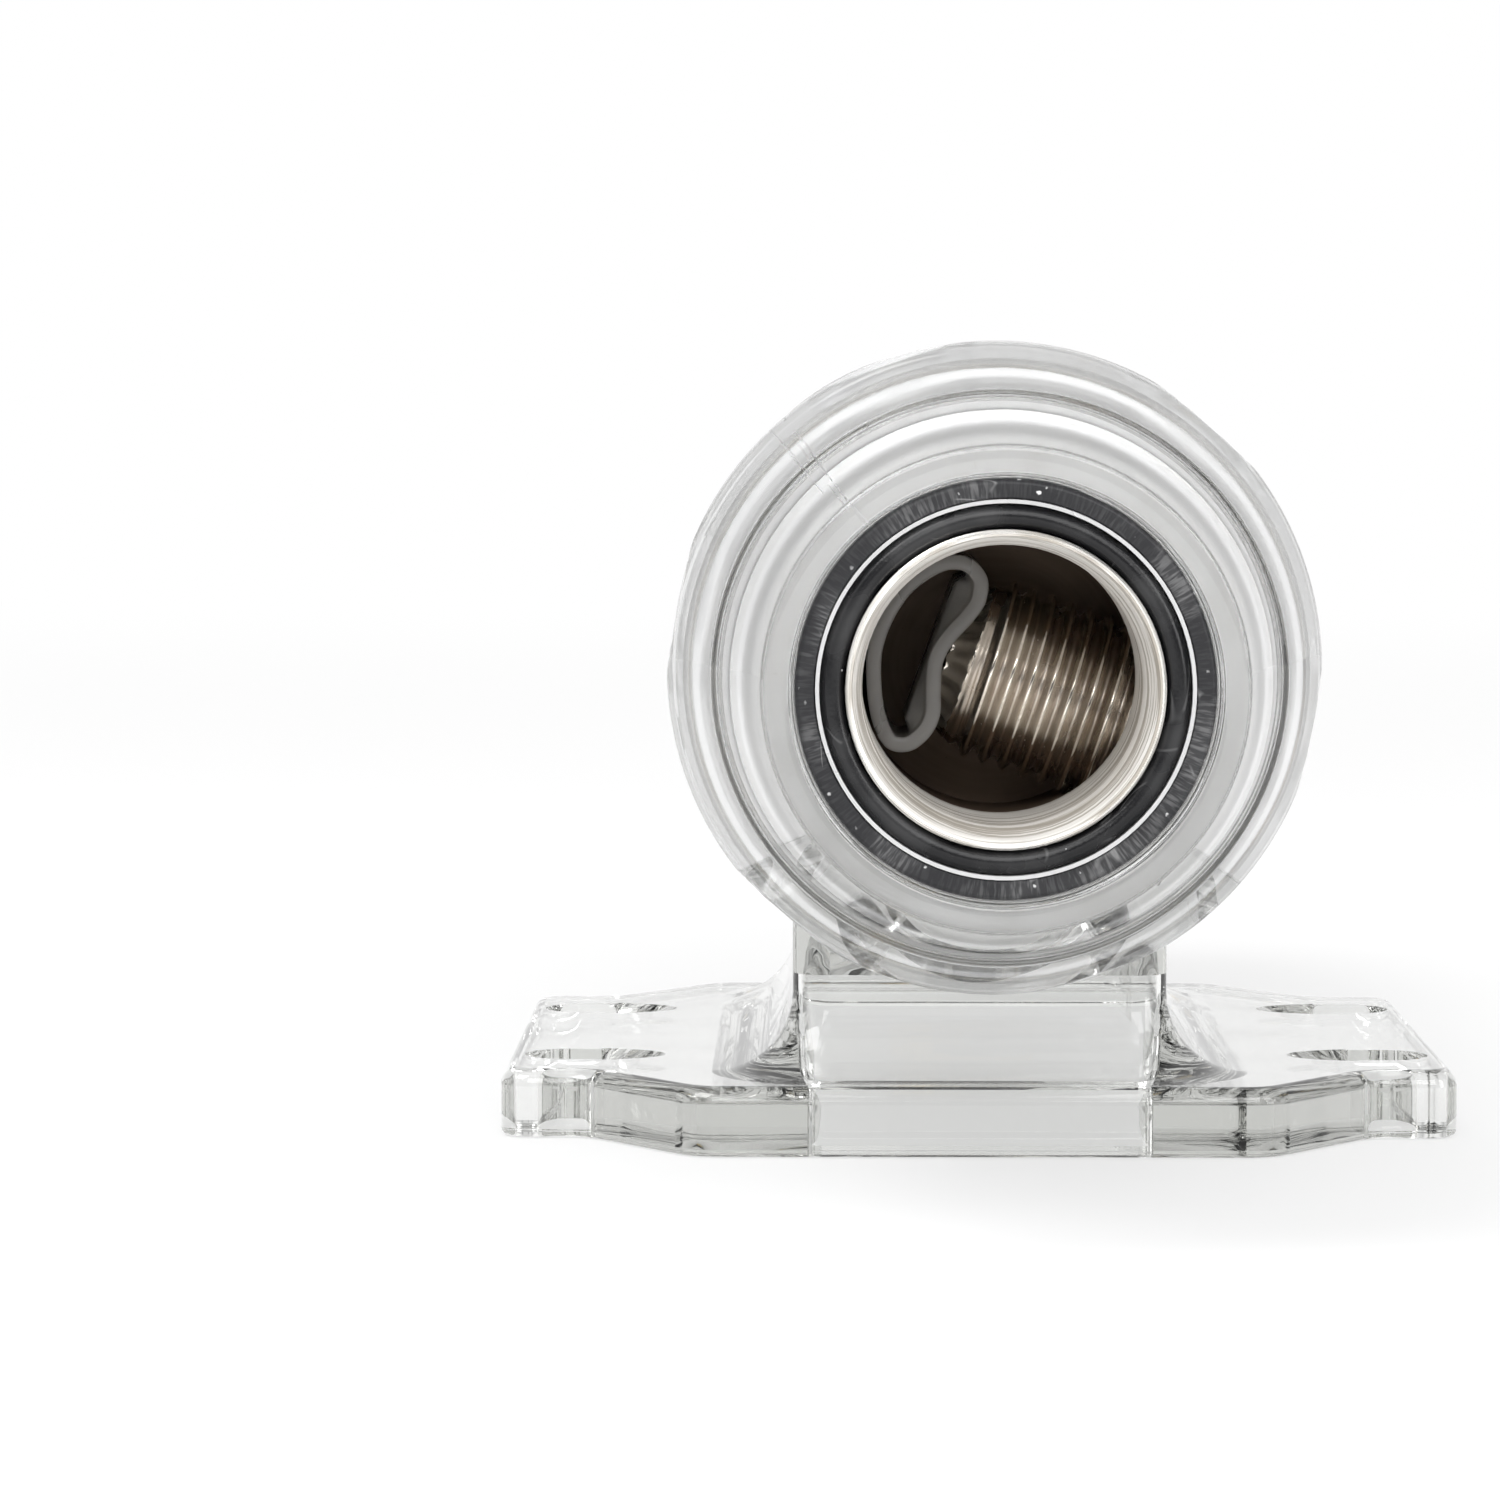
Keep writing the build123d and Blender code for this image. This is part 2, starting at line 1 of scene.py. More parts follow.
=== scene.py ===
"""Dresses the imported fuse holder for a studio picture.

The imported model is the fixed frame: metres, Y along the barrel with the photographed end towards -Y, +Z up.
Each sub-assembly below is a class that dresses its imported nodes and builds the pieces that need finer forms.
Pieces in the barrel are worked out in the cartridge frame: barrel axis along Y through the origin, screws
along +Z and the front end towards -Y. CartridgeFrame carries them to their place.
"""

from __future__ import annotations

import logging
import math
from dataclasses import dataclass
from enum import Enum

import bpy
import numpy as np
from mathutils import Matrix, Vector

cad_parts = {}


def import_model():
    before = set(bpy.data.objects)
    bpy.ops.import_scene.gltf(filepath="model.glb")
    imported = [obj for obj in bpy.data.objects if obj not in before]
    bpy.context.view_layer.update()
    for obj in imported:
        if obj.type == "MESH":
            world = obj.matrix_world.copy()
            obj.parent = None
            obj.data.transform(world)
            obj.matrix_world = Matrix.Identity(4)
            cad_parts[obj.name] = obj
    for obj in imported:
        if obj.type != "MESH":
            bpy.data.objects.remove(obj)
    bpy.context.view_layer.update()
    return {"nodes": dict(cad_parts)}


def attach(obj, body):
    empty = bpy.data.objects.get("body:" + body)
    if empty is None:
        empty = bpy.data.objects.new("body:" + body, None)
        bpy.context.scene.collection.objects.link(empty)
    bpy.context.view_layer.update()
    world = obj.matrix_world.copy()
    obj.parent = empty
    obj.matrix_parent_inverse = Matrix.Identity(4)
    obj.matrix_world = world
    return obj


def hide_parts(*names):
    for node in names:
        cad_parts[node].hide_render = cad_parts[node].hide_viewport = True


MM = 0.001
Socket = bpy.types.NodeSocket
Node = bpy.types.Node
Colour = tuple[float, float, float, float]
WHITE: Colour = (1.0, 1.0, 1.0, 1.0)
log = logging.getLogger("fuse_holder")


class End(Enum):
    """The two ends of the holder."""

    FRONT = "front"
    REAR = "rear"

    @property
    def flip(self) -> float:
        """1 at the front and -1 at the rear, where X and Y change sign."""
        return 1.0 if self is End.FRONT else -1.0

    def node(self, stem: str) -> str:
        """Full name of this end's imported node, from its name without the end."""
        return f"{stem}_{self.value}"


@dataclass(frozen=True)
class CartridgeFrame:
    """Carries points from a piece's own frame to the row's frame."""

    axis_height: float = 26.85 * MM
    roll: float = math.radians(110.0)

    def in_barrel(self, points: np.ndarray, end: End) -> np.ndarray:
        """Turns points half round Z for the rear end and lifts them to the barrel axis."""
        placed = points * np.array([end.flip, end.flip, 1.0])
        return placed + np.array([0.0, 0.0, self.axis_height])

    def in_cartridge(self, points: np.ndarray, end: End) -> np.ndarray:
        """Rolls points about the barrel axis as well: x' = x cos + z sin, z' = z cos - x sin.

        Args:
            points: array of (x, y, z) in the cartridge frame.
            end: the end that the piece belongs to.

        Returns:
            The points in the row's frame.
        """
        turned = points * np.array([end.flip, end.flip, 1.0])
        x, y, z = turned[..., 0], turned[..., 1], turned[..., 2]
        c, s = math.cos(self.roll), math.sin(self.roll)
        rolled = np.stack([x * c + z * s, y, z * c - x * s], axis=-1)
        return rolled + np.array([0.0, 0.0, self.axis_height])


FRAME = CartridgeFrame()


def grid_faces(rows: int, columns: int, wrap_rows: bool, wrap_columns: bool) -> np.ndarray:
    """Quads of a grid: face (i, j) joins corners (i, j), (i, j+1), (i+1, j+1) and (i+1, j).

    Args:
        rows: number of grid rows.
        columns: number of grid columns.
        wrap_rows: True if the last row joins the first.
        wrap_columns: True if the last column joins the first.

    Returns:
        Array of corner numbers, four to a face.
    """
    i = np.arange(rows if wrap_rows else rows - 1)[:, None]
    j = np.arange(columns if wrap_columns else columns - 1)[None, :]
    right = (j + 1) % columns
    row, next_row = i * columns, (i + 1) % rows * columns
    corners = np.broadcast_arrays(row + j, row + right, next_row + right, next_row + j)
    return np.stack(corners, axis=-1).reshape(-1, 4)


def surface(
    name: str,
    points: np.ndarray,
    wrap_rows: bool = False,
    wrap_columns: bool = True,
    poles: bool = False,
    crease_deg: float = 40.0,
    worn_and_shaded: np.ndarray | None = None,
) -> bpy.types.Object:
    """Makes a mesh object from a grid of points, with its faces outwards.

    Args:
        name: the piece's name.
        points: array (rows, columns, 3) in the row's frame.
        wrap_rows: True if the last row joins the first.
        wrap_columns: True if the last column joins the first.
        poles: True to close the first and last rows with a fan to their middle point.
        crease_deg: edges that turn by more than this stay sharp.
        worn_and_shaded: array (rows, columns) of painted shade in recesses, kept as an attribute: 0 for none,
            1 for full shade.

    Returns:
        The new object, at the origin.
    """
    rows, columns = points.shape[:2]
    vertices = points.reshape(-1, 3)
    quads = grid_faces(rows, columns, wrap_rows, wrap_columns)
    triangles = np.zeros((0, 3), int)
    if poles:
        ends = np.stack([points[0].mean(0), points[-1].mean(0)])
        first, last = len(vertices), len(vertices) + 1
        vertices = np.concatenate([vertices, ends])
        j = np.arange(columns)
        right = (j + 1) % columns
        bottom = np.stack([np.full(columns, first), right, j], axis=-1)
        base = (rows - 1) * columns
        top = np.stack([np.full(columns, last), base + j, base + right], axis=-1)
        triangles = np.concatenate([bottom, top])
    fans = np.concatenate([quads[:, [0, 1, 2]], quads[:, [0, 2, 3]], triangles])
    a, b, c = (vertices[fans[:, k]] for k in range(3))
    if float(np.einsum("ij,ij->i", a, np.cross(b, c)).sum()) < 0.0:
        quads, triangles = quads[:, ::-1], triangles[:, ::-1]
    mesh = bpy.data.meshes.new(name)
    mesh.from_pydata(vertices.tolist(), [], quads.tolist() + triangles.tolist())
    mesh.polygons.foreach_set("use_smooth", np.ones(len(mesh.polygons), bool))
    mesh.set_sharp_from_angle(angle=math.radians(crease_deg))
    # The pole points get full painted shade; the attribute carries the painted shade in recesses.
    if worn_and_shaded is not None:
        recess_shade = np.ones(len(mesh.vertices), np.float32)
        recess_shade[: rows * columns] = worn_and_shaded.reshape(-1)
        mesh.attributes.new("recess_shade", "FLOAT", "POINT").data.foreach_set("value", recess_shade)
    mesh.update()
    made = bpy.data.objects.new(name, mesh)
    bpy.context.scene.collection.objects.link(made)
    return made


def smooth_step(x: np.ndarray) -> np.ndarray:
    """0 below 0, 1 above 1, and 3x^2 - 2x^3 between."""
    t = np.clip(x, 0.0, 1.0)
    return t * t * (3.0 - 2.0 * t)


def closed_curve(corners: np.ndarray, count: int) -> np.ndarray:
    """Smooth closed line through points: a Catmull-Rom spline sampled at even parameter steps.

    Args:
        corners: array (n, 2) of points in order.
        count: number of samples.

    Returns:
        Array (count, 2).
    """
    n = len(corners)
    at = np.arange(count) * n / count
    k = at.astype(int)
    t = (at - k)[:, None]
    p0, p1, p2, p3 = (corners[(k + shift) % n] for shift in (-1, 0, 1, 2))
    return 0.5 * (
        2 * p1 + (p2 - p0) * t + (2 * p0 - 5 * p1 + 4 * p2 - p3) * t**2 + (3 * p1 - p0 - 3 * p2 + p3) * t**3
    )


def whole_turn(count: int) -> np.ndarray:
    """Even directions round a whole turn: an array (1, count) in radians."""
    return np.linspace(0.0, 2 * math.pi, count, endpoint=False)[None, :]


def about_axis(radius: np.ndarray, ahead: np.ndarray, angle: np.ndarray) -> np.ndarray:
    """Points about the barrel axis, from radius, distance ahead of the barrel's middle and direction."""
    ahead = ahead + 0.0 * angle
    return np.stack([radius * np.cos(angle), -ahead, radius * np.sin(angle)], axis=-1)


def rounded(corners: tuple[tuple[float, float, float], ...], longest: float) -> np.ndarray:
    """Line through corners, each cut back by its third number and rounded with a quadratic curve.

    Args:
        corners: (distance ahead, radius, cut) of each corner.
        longest: longest step along a straight part.

    Returns:
        Array (n, 2) of (distance ahead, radius).
    """
    at = np.array(corners)
    line: list[np.ndarray] = []
    for k, (ahead, radius, cut) in enumerate(corners):
        corner = np.array([ahead, radius])
        if cut <= 0.0:
            line.append(corner)
            continue
        before, after = at[k - 1, :2] - corner, at[k + 1, :2] - corner
        first = corner + before / np.linalg.norm(before) * cut
        last = corner + after / np.linalg.norm(after) * cut
        for t in np.linspace(0.0, 1.0, 6):
            line.append((1 - t) ** 2 * first + 2 * t * (1 - t) * corner + t * t * last)
    fine = [line[0]]
    for start, stop in zip(line[:-1], line[1:]):
        steps = max(1, math.ceil(float(np.linalg.norm(stop - start)) / longest))
        fine += [start + (stop - start) * (k + 1) / steps for k in range(steps)]
    return np.array(fine)


class Sheet:
    """A node tree that is being filled."""

    def __init__(self, tree: bpy.types.NodeTree) -> None:
        """Keeps the material's, world's or group's node tree."""
        self.tree = tree

    def add(self, kind: str, **settings: object) -> Node:
        """Adds a node.

        Args:
            kind: the node's type name without the word ShaderNode.
            **settings: properties of the node to set.

        Returns:
            The node.
        """
        node = self.tree.nodes.new(f"ShaderNode{kind}")
        for key, value in settings.items():
            setattr(node, key, value)
        return node

    def feed(self, socket: Socket, value: object) -> None:
        """Links a socket to an output, or sets its plain value.

        Args:
            socket: the input.
            value: an output socket, a number or a tuple.
        """
        if isinstance(value, Socket):
            self.tree.links.new(value, socket)
        else:
            socket.default_value = value

    def wire(self, node: Node, **values: object) -> Node:
        """Feeds several inputs of a node.

        Args:
            node: the node.
            **values: what feeds each input, by its name with spaces written as underscores.

        Returns:
            The same node.
        """
        for key, value in values.items():
            self.feed(node.inputs[key.replace("_", " ")], value)
        return node

    def maths(self, operation: str, *values: object, clamp: bool = False) -> Socket:
        """Output of a Math node.

        Args:
            operation: the node's operation.
            *values: its inputs.
            clamp: True to keep the result between 0 and 1.

        Returns:
            The output socket.
        """
        node = self.add("Math", operation=operation, use_clamp=clamp)
        for socket, value in zip(node.inputs, values):
            self.feed(socket, value)
        return node.outputs[0]

    def times(self, *values: object, clamp: bool = False) -> Socket:
        """Product of two numbers."""
        return self.maths("MULTIPLY", *values, clamp=clamp)

    def plus(self, *values: object, clamp: bool = False) -> Socket:
        """Sum of two numbers."""
        return self.maths("ADD", *values, clamp=clamp)

    def minus(self, *values: object, clamp: bool = False) -> Socket:
        """First number less the second."""
        return self.maths("SUBTRACT", *values, clamp=clamp)

    def vectors(self, operation: str, first: object, second: object) -> Node:
        """Adds a Vector Math node.

        Args:
            operation: the node's operation.
            first: its first vector.
            second: its second vector.

        Returns:
            The node.
        """
        node = self.add("VectorMath", operation=operation)
        self.feed(node.inputs[0], first)
        self.feed(node.inputs[1], second)
        return node

    def length(self, x: Socket, z: Socket) -> Socket:
        """Length of (x, z)."""
        return self.maths("SQRT", self.plus(self.maths("POWER", x, 2.0), self.maths("POWER", z, 2.0)))

    def spread(self, value: object, low: float, high: float, to_low: float, to_high: float) -> Socket:
        """Output of a smooth Map Range node.

        Args:
            value: what is mapped.
            low: value that gives to_low.
            high: value that gives to_high.
            to_low: first result.
            to_high: last result.

        Returns:
            The output socket.
        """
        node = self.add("MapRange", interpolation_type="SMOOTHSTEP")
        self.wire(node, Value=value, From_Min=low, From_Max=high, To_Min=to_low, To_Max=to_high)
        return node.outputs["Result"]

    def blend(self, share: object, first: object, second: object) -> Socket:
        """Output of a colour mix.

        Args:
            share: how much of the second colour shows.
            first: first colour.
            second: second colour.

        Returns:
            The output socket.
        """
        node = self.add("Mix", data_type="RGBA")
        self.feed(node.inputs[0], share)
        self.feed(node.inputs[6], first)
        self.feed(node.inputs[7], second)
        return node.outputs[2]

    def noise(self, vector: object, scale: object, detail: float = 2.0, roughness: float = 0.5) -> Socket:
        """Noise over a vector: features to a metre, octaves, and share of the finer octaves."""
        node = self.wire(self.add("TexNoise"), Vector=vector, Scale=scale)
        return self.wire(node, Detail=detail, Roughness=roughness).outputs["Fac"]

    def place(self, group: Effect, **values: object) -> Node:
        """Places a shared effect and feeds its inputs as wire does."""
        return self.wire(self.add("Group", node_tree=group.tree()), **values)


@dataclass(frozen=True)
class Effect:
    """A shader node group that several materials share: a Vector and the inputs in, the outputs out."""

    name: str = ""
    inputs: tuple[tuple[str, float], ...] = ()
    outputs: tuple[str, ...] = ()

    def tree(self) -> bpy.types.NodeTree:
        """Finds the group, or builds it the first time.

        Returns:
            The node group.
        """
        found = bpy.data.node_groups.get(self.name)
        if found:
            return found
        made = bpy.data.node_groups.new(self.name, "ShaderNodeTree")
        made.interface.new_socket("Vector", in_out="INPUT", socket_type="NodeSocketVector")
        for label, start in self.inputs:
            socket = made.interface.new_socket(label, in_out="INPUT", socket_type="NodeSocketFloat")
            socket.default_value = start
        for label in self.outputs:
            made.interface.new_socket(label, in_out="OUTPUT", socket_type="NodeSocketFloat")
        sheet = Sheet(made)
        self.fill(sheet, sheet.tree.nodes.new("NodeGroupInput"), sheet.tree.nodes.new("NodeGroupOutput"))
        return made

    def fill(self, sheet: Sheet, given: Node, out: Node) -> None:
        """Builds the nodes between the group's input node and its output node."""
        raise NotImplementedError


@dataclass(frozen=True)
class TurningMarks(Effect):
    """Fine rings that a lathe tool leaves round the Y axis of the given coordinates."""

    name: str = "turning_marks"
    inputs: tuple[tuple[str, float], ...] = (("Rings", 9000.0),)
    outputs: tuple[str, ...] = ("Height", "Shade")
    least_radius: float = 1e-5
    round_waves: float = 1.6
    shade_range: tuple[float, float] = (0.38, 0.62)

    def fill(self, sheet: Sheet, given: Node, out: Node) -> None:
        """Noise over (distance from the axis, place along it, direction), fine in the first two only.

        Args:
            sheet: the group's tree.
            given: its input node.
            out: its output node.
        """
        x, y, z = sheet.wire(sheet.add("SeparateXYZ"), Vector=given.outputs["Vector"]).outputs
        count = given.outputs["Rings"]
        radius = sheet.length(x, z)
        away = sheet.maths("MAXIMUM", radius, self.least_radius)
        cosine, sine = sheet.maths("DIVIDE", x, away), sheet.maths("DIVIDE", z, away)
        across = sheet.wire(
            sheet.add("CombineXYZ"),
            X=sheet.times(radius, count),
            Y=sheet.times(y, count),
            Z=sheet.times(cosine, self.round_waves),
        )
        rings = sheet.wire(
            sheet.add("TexNoise", noise_dimensions="4D"),
            Vector=across.outputs[0],
            W=sheet.times(sine, self.round_waves),
            Scale=1.0,
            Detail=3.0,
        ).outputs["Fac"]
        sheet.wire(out, Height=rings, Shade=sheet.spread(rings, *self.shade_range, 0.0, 1.0))


@dataclass(frozen=True)
class Flecks(Effect):
    """Small scattered specks, such as dust, chips and pits."""

    name: str = "flecks"
    inputs: tuple[tuple[str, float], ...] = (("Scale", 900.0), ("Size", 0.16), ("Patches", 0.5))
    outputs: tuple[str, ...] = ("Mask",)
    ragged_edge: float = 0.35
    ragged_mean: float = 0.17
    ragged_scale: float = 3.0
    patch_scale: float = 0.3
    spot_contrast: float = 14.0
    patch_contrast: float = 9.0

    def fill(self, sheet: Sheet, given: Node, out: Node) -> None:
        """Cells' near points, ragged by noise, kept only where a slow noise passes Patches.

        Args:
            sheet: the group's tree.
            given: its input node.
            out: its output node.
        """
        where, scale = given.outputs["Vector"], given.outputs["Scale"]
        ragged = sheet.noise(where, sheet.times(scale, self.ragged_scale))
        cells = sheet.wire(sheet.add("TexVoronoi"), Vector=where, Scale=scale)
        shift = sheet.times(ragged, self.ragged_edge)
        distance = sheet.plus(cells.outputs["Distance"], shift)
        reach = sheet.plus(given.outputs["Size"], self.ragged_mean)
        near = sheet.minus(reach, distance)
        spot = sheet.times(near, self.spot_contrast, clamp=True)
        slow = sheet.noise(where, sheet.times(scale, self.patch_scale))
        patch = sheet.minus(slow, given.outputs["Patches"])
        patch = sheet.times(patch, self.patch_contrast, clamp=True)
        sheet.wire(out, Mask=sheet.times(spot, patch))


@dataclass(frozen=True)
class Scratches(Effect):
    """Long thin scratches in a few directions."""

    name: str = "scratches"
    inputs: tuple[tuple[str, float], ...] = (("Scale", 60.0), ("Width", 0.004))
    outputs: tuple[str, ...] = ("Mask",)
    turns_stretches: tuple[tuple[float, float], ...] = ((0.5, 0.16), (2.1, 0.22), (3.9, 0.12))
    patch_range: tuple[float, float] = (0.55, 0.62)

    def fill(self, sheet: Sheet, given: Node, out: Node) -> None:
        """Where stretched noise crosses its middle value, inside patches of a slower noise.

        Args:
            sheet: the group's tree.
            given: its input node.
            out: its output node.
        """
        scale = given.outputs["Scale"]
        total: Socket | float = 0.0
        for turn, stretch in self.turns_stretches:
            aim = sheet.add("VectorRotate", rotation_type="EULER_XYZ")
            sheet.wire(aim, Vector=given.outputs["Vector"], Rotation=(turn * 0.7, turn, turn * 1.3))
            longer = sheet.vectors("MULTIPLY", aim.outputs[0], (1.0, stretch, 1.0)).outputs[0]
            lines = sheet.noise(longer, scale, 0.0)
            off = sheet.maths("ABSOLUTE", sheet.minus(lines, 0.5))
            share = sheet.maths("DIVIDE", off, given.outputs["Width"])
            line = sheet.minus(1.0, share, clamp=True)
            patch = sheet.noise(aim.outputs[0], sheet.times(scale, 2.0))
            shown = sheet.spread(patch, *self.patch_range, 0.0, 1.0)
            total = sheet.maths("MAXIMUM", total, sheet.times(line, shown))
        sheet.wire(out, Mask=total)


@dataclass(frozen=True)
class Grain(Effect):
    """Fine even grain with slow mottling, for mouldings, rubber and plating."""

    name: str = "grain"
    inputs: tuple[tuple[str, float], ...] = (("Scale", 4000.0),)
    outputs: tuple[str, ...] = ("Height", "Mottle")
    mottle_scale: float = 0.05

    def fill(self, sheet: Sheet, given: Node, out: Node) -> None:
        """A fine noise for the height and one twenty times slower for the mottle.

        Args:
            sheet: the group's tree.
            given: its input node.
            out: its output node.
        """
        where, scale = given.outputs["Vector"], given.outputs["Scale"]
        slow = sheet.noise(where, sheet.times(scale, self.mottle_scale))
        sheet.wire(out, Height=sheet.noise(where, scale, 3.0), Mottle=slow)


@dataclass(frozen=True)
class BarrelZone(Effect):
    """Place about the barrel: distance from its axis, distance ahead of its middle, and direction."""

    name: str = "barrel_zone"
    outputs: tuple[str, ...] = ("Radius", "Ahead", "Angle")

    def fill(self, sheet: Sheet, given: Node, out: Node) -> None:
        """Cylinder coordinates about the barrel axis; the angle runs from +X towards +Z.

        Args:
            sheet: the group's tree.
            given: its input node.
            out: its output node.
        """
        x, y, height = sheet.wire(sheet.add("SeparateXYZ"), Vector=given.outputs["Vector"]).outputs
        z = sheet.minus(height, FRAME.axis_height)
        ahead, angle = sheet.maths("ABSOLUTE", y), sheet.maths("ARCTAN2", z, x)
        sheet.wire(out, Radius=sheet.length(x, z), Ahead=ahead, Angle=angle)


@dataclass(frozen=True)
class FaceScratches(Effect):
    """Three fine scratches that run outwards over a cap's cone, at its upper left.

    Each has a direction in degrees, an inner and an outer radius in millimetres, and a half width in
    degrees.
    """

    name: str = "face_scratches"
    outputs: tuple[str, ...] = ("Mask",)
    lines: tuple[tuple[float, float, float, float], ...] = (
        (130.4, 10.2, 14.0, 0.35),
        (131.6, 10.9, 12.4, 0.25),
        (133.6, 12.3, 14.6, 0.22),
    )
    wobble: float = 0.012
    wobble_scale: float = 400.0
    break_scale: float = 1500.0
    break_range: tuple[float, float] = (0.4, 0.5)
    break_depth: float = 0.25

    def fill(self, sheet: Sheet, given: Node, out: Node) -> None:
        """Thin wedges at set directions between two radii, broken up by noise.

        Args:
            sheet: the group's tree.
            given: its input node.
            out: its output node.
        """
        where = given.outputs["Vector"]
        zone = sheet.place(BarrelZone(), Vector=where)
        drift = sheet.times(sheet.noise(where, self.wobble_scale, 1.0), self.wobble)
        angle = sheet.plus(zone.outputs["Angle"], drift)
        breaks = sheet.noise(where, self.break_scale, 1.0)
        shown = sheet.spread(breaks, *self.break_range, self.break_depth, 1.0)
        total: Socket | float = 0.0
        for way, inner, outer, width in self.lines:
            off = sheet.maths("ABSOLUTE", sheet.minus(angle, math.radians(way)))
            line = sheet.spread(off, 0.0, math.radians(width), 1.0, 0.0)
            from_inner = sheet.maths("GREATER_THAN", zone.outputs["Radius"], inner * MM)
            to_outer = sheet.maths("LESS_THAN", zone.outputs["Radius"], outer * MM)
            part = sheet.times(line, sheet.times(from_inner, to_outer))
            total = sheet.maths("MAXIMUM", total, part)
        sheet.wire(out, Mask=sheet.times(total, shown))


@dataclass(frozen=True)
class BrushMarks(Effect):
    """Fine marks that run outwards from the barrel axis, in worn patches."""

    name: str = "brush_marks"
    inputs: tuple[tuple[str, float], ...] = (("Marks", 60.0),)
    outputs: tuple[str, ...] = ("Mask",)
    skew: float = 900.0
    patch_scale: float = 260.0
    patch_range: tuple[float, float] = (0.4, 0.6)
    patch_floor: float = 0.15
    line_range: tuple[float, float] = (0.42, 0.66)

    def fill(self, sheet: Sheet, given: Node, out: Node) -> None:
        """Noise over the direction from the axis, skewed a little by the radius, times a slow noise.

        Args:
            sheet: the group's tree.
            given: its input node.
            out: its output node.
        """
        zone = sheet.place(BarrelZone(), Vector=given.outputs["Vector"])
        turned = sheet.times(zone.outputs["Angle"], given.outputs["Marks"])
        skewed = sheet.times(zone.outputs["Radius"], self.skew)
        fan = sheet.wire(sheet.add("CombineXYZ"), X=turned, Y=skewed)
        lines = sheet.spread(sheet.noise(fan.outputs[0], 1.0, 2.0), *self.line_range, 0.0, 1.0)
        slow = sheet.noise(given.outputs["Vector"], self.patch_scale, 1.0)
        patch = sheet.spread(slow, *self.patch_range, self.patch_floor, 1.0)
        sheet.wire(out, Mask=sheet.times(lines, patch))


@dataclass(frozen=True)
class Finish:
    """Base of every finish: makes its material once and gives the shared starting nodes."""

    name: str

    def material(self) -> bpy.types.Material:
        """Finds the material, or builds it the first time.

        Returns:
            The material.
        """
        label = f"{self.name}_dressed"
        found = bpy.data.materials.get(label)
        if found:
            return found
        made = bpy.data.materials.new(label)
        made.use_nodes = True
        sheet = Sheet(made.node_tree)
        shader = next(n for n in made.node_tree.nodes if n.type == "BSDF_PRINCIPLED")
        where = sheet.add("TexCoord").outputs["Object"]
        self.fill(sheet, shader, where)
        return made

    def fill(self, sheet: Sheet, shader: Node, where: Socket) -> None:
        """Feeds the Principled shader, from Object coordinates in metres."""
        raise NotImplementedError

    def bump(self, sheet: Sheet, shader: Node, height: Socket, depth: float) -> None:
        """Bumps the surface by heights from 0 to 1, where 1 stands for a depth in metres."""
        node = sheet.wire(sheet.add("Bump"), Strength=1.0, Distance=depth, Height=height)
        sheet.wire(shader, Normal=node.outputs["Normal"])

    def dress(self, *pieces: bpy.types.Object) -> None:
        """Gives pieces this finish in every material slot.

        Args:
            *pieces: the objects.
        """
        for piece in pieces:
            slots = piece.data.materials
            if not slots:
                slots.append(self.material())
            for index in range(len(slots)):
                slots[index] = self.material()


@dataclass(frozen=True)
class ClearMoulding(Finish):
    """Clear plastic: polished outside, duller inside its threaded ends, a little grey through its thickness.

    The dull inside runs from the thread's foot to just behind the cap's lip. It stays within the thread's
    radius and within a cone, whose radius is cone_start less cone_slope for each metre ahead.
    """

    tint: Colour = (0.965, 0.968, 0.972, 1.0)
    body: Colour = (0.53, 0.535, 0.505, 1.0)
    density: float = 0.0
    ior: float = 1.49
    wave_depth: float = 0.00002
    wave_scale: float = 110.0
    thread_dull: float = 0.0
    thread_radius: float = 14.2 * MM
    thread_foot: float = 30.8 * MM
    dull_stop: float = 63.2 * MM
    cone_start: float = 25.03 * MM
    cone_slope: float = 0.2212
    scratched: bool = False
    scratch_rough: float = 0.6
    scratch_depth: float = 0.4

    def fill(self, sheet: Sheet, shader: Node, where: Socket) -> None:
        """Clear body with slow waves in its skin, a dull thread and, where asked for, a few scratches.

        Args:
            sheet: the material's tree.
            shader: the Principled shader.
            where: Object coordinates, in metres.
        """
        sheet.wire(shader, Base_Color=self.tint, Transmission_Weight=1.0, IOR=self.ior)
        waves = sheet.noise(where, self.wave_scale, 0.0)
        zone = sheet.place(BarrelZone(), Vector=where)
        ahead = zone.outputs["Ahead"]
        cone = sheet.maths("MULTIPLY_ADD", ahead, -self.cone_slope, self.cone_start)
        limit = sheet.maths("MINIMUM", cone, self.thread_radius)
        inside = sheet.maths("LESS_THAN", zone.outputs["Radius"], limit)
        inside = sheet.times(inside, sheet.maths("GREATER_THAN", ahead, self.thread_foot))
        inside = sheet.times(inside, sheet.maths("LESS_THAN", ahead, self.dull_stop))
        rough: Socket = sheet.times(inside, self.thread_dull)
        if self.scratched:
            lines = sheet.place(FaceScratches(), Vector=where).outputs["Mask"]
            rough = sheet.plus(rough, sheet.times(lines, self.scratch_rough))
            waves = sheet.minus(waves, sheet.times(lines, self.scratch_depth))
        sheet.wire(shader, Roughness=rough)
        self.bump(sheet, shader, waves, self.wave_depth)
        if self.density:
            depth = sheet.wire(sheet.add("VolumeAbsorption"), Color=self.body, Density=self.density)
            out = next(n for n in sheet.tree.nodes if n.type == "OUTPUT_MATERIAL")
            sheet.wire(out, Volume=depth.outputs[0])


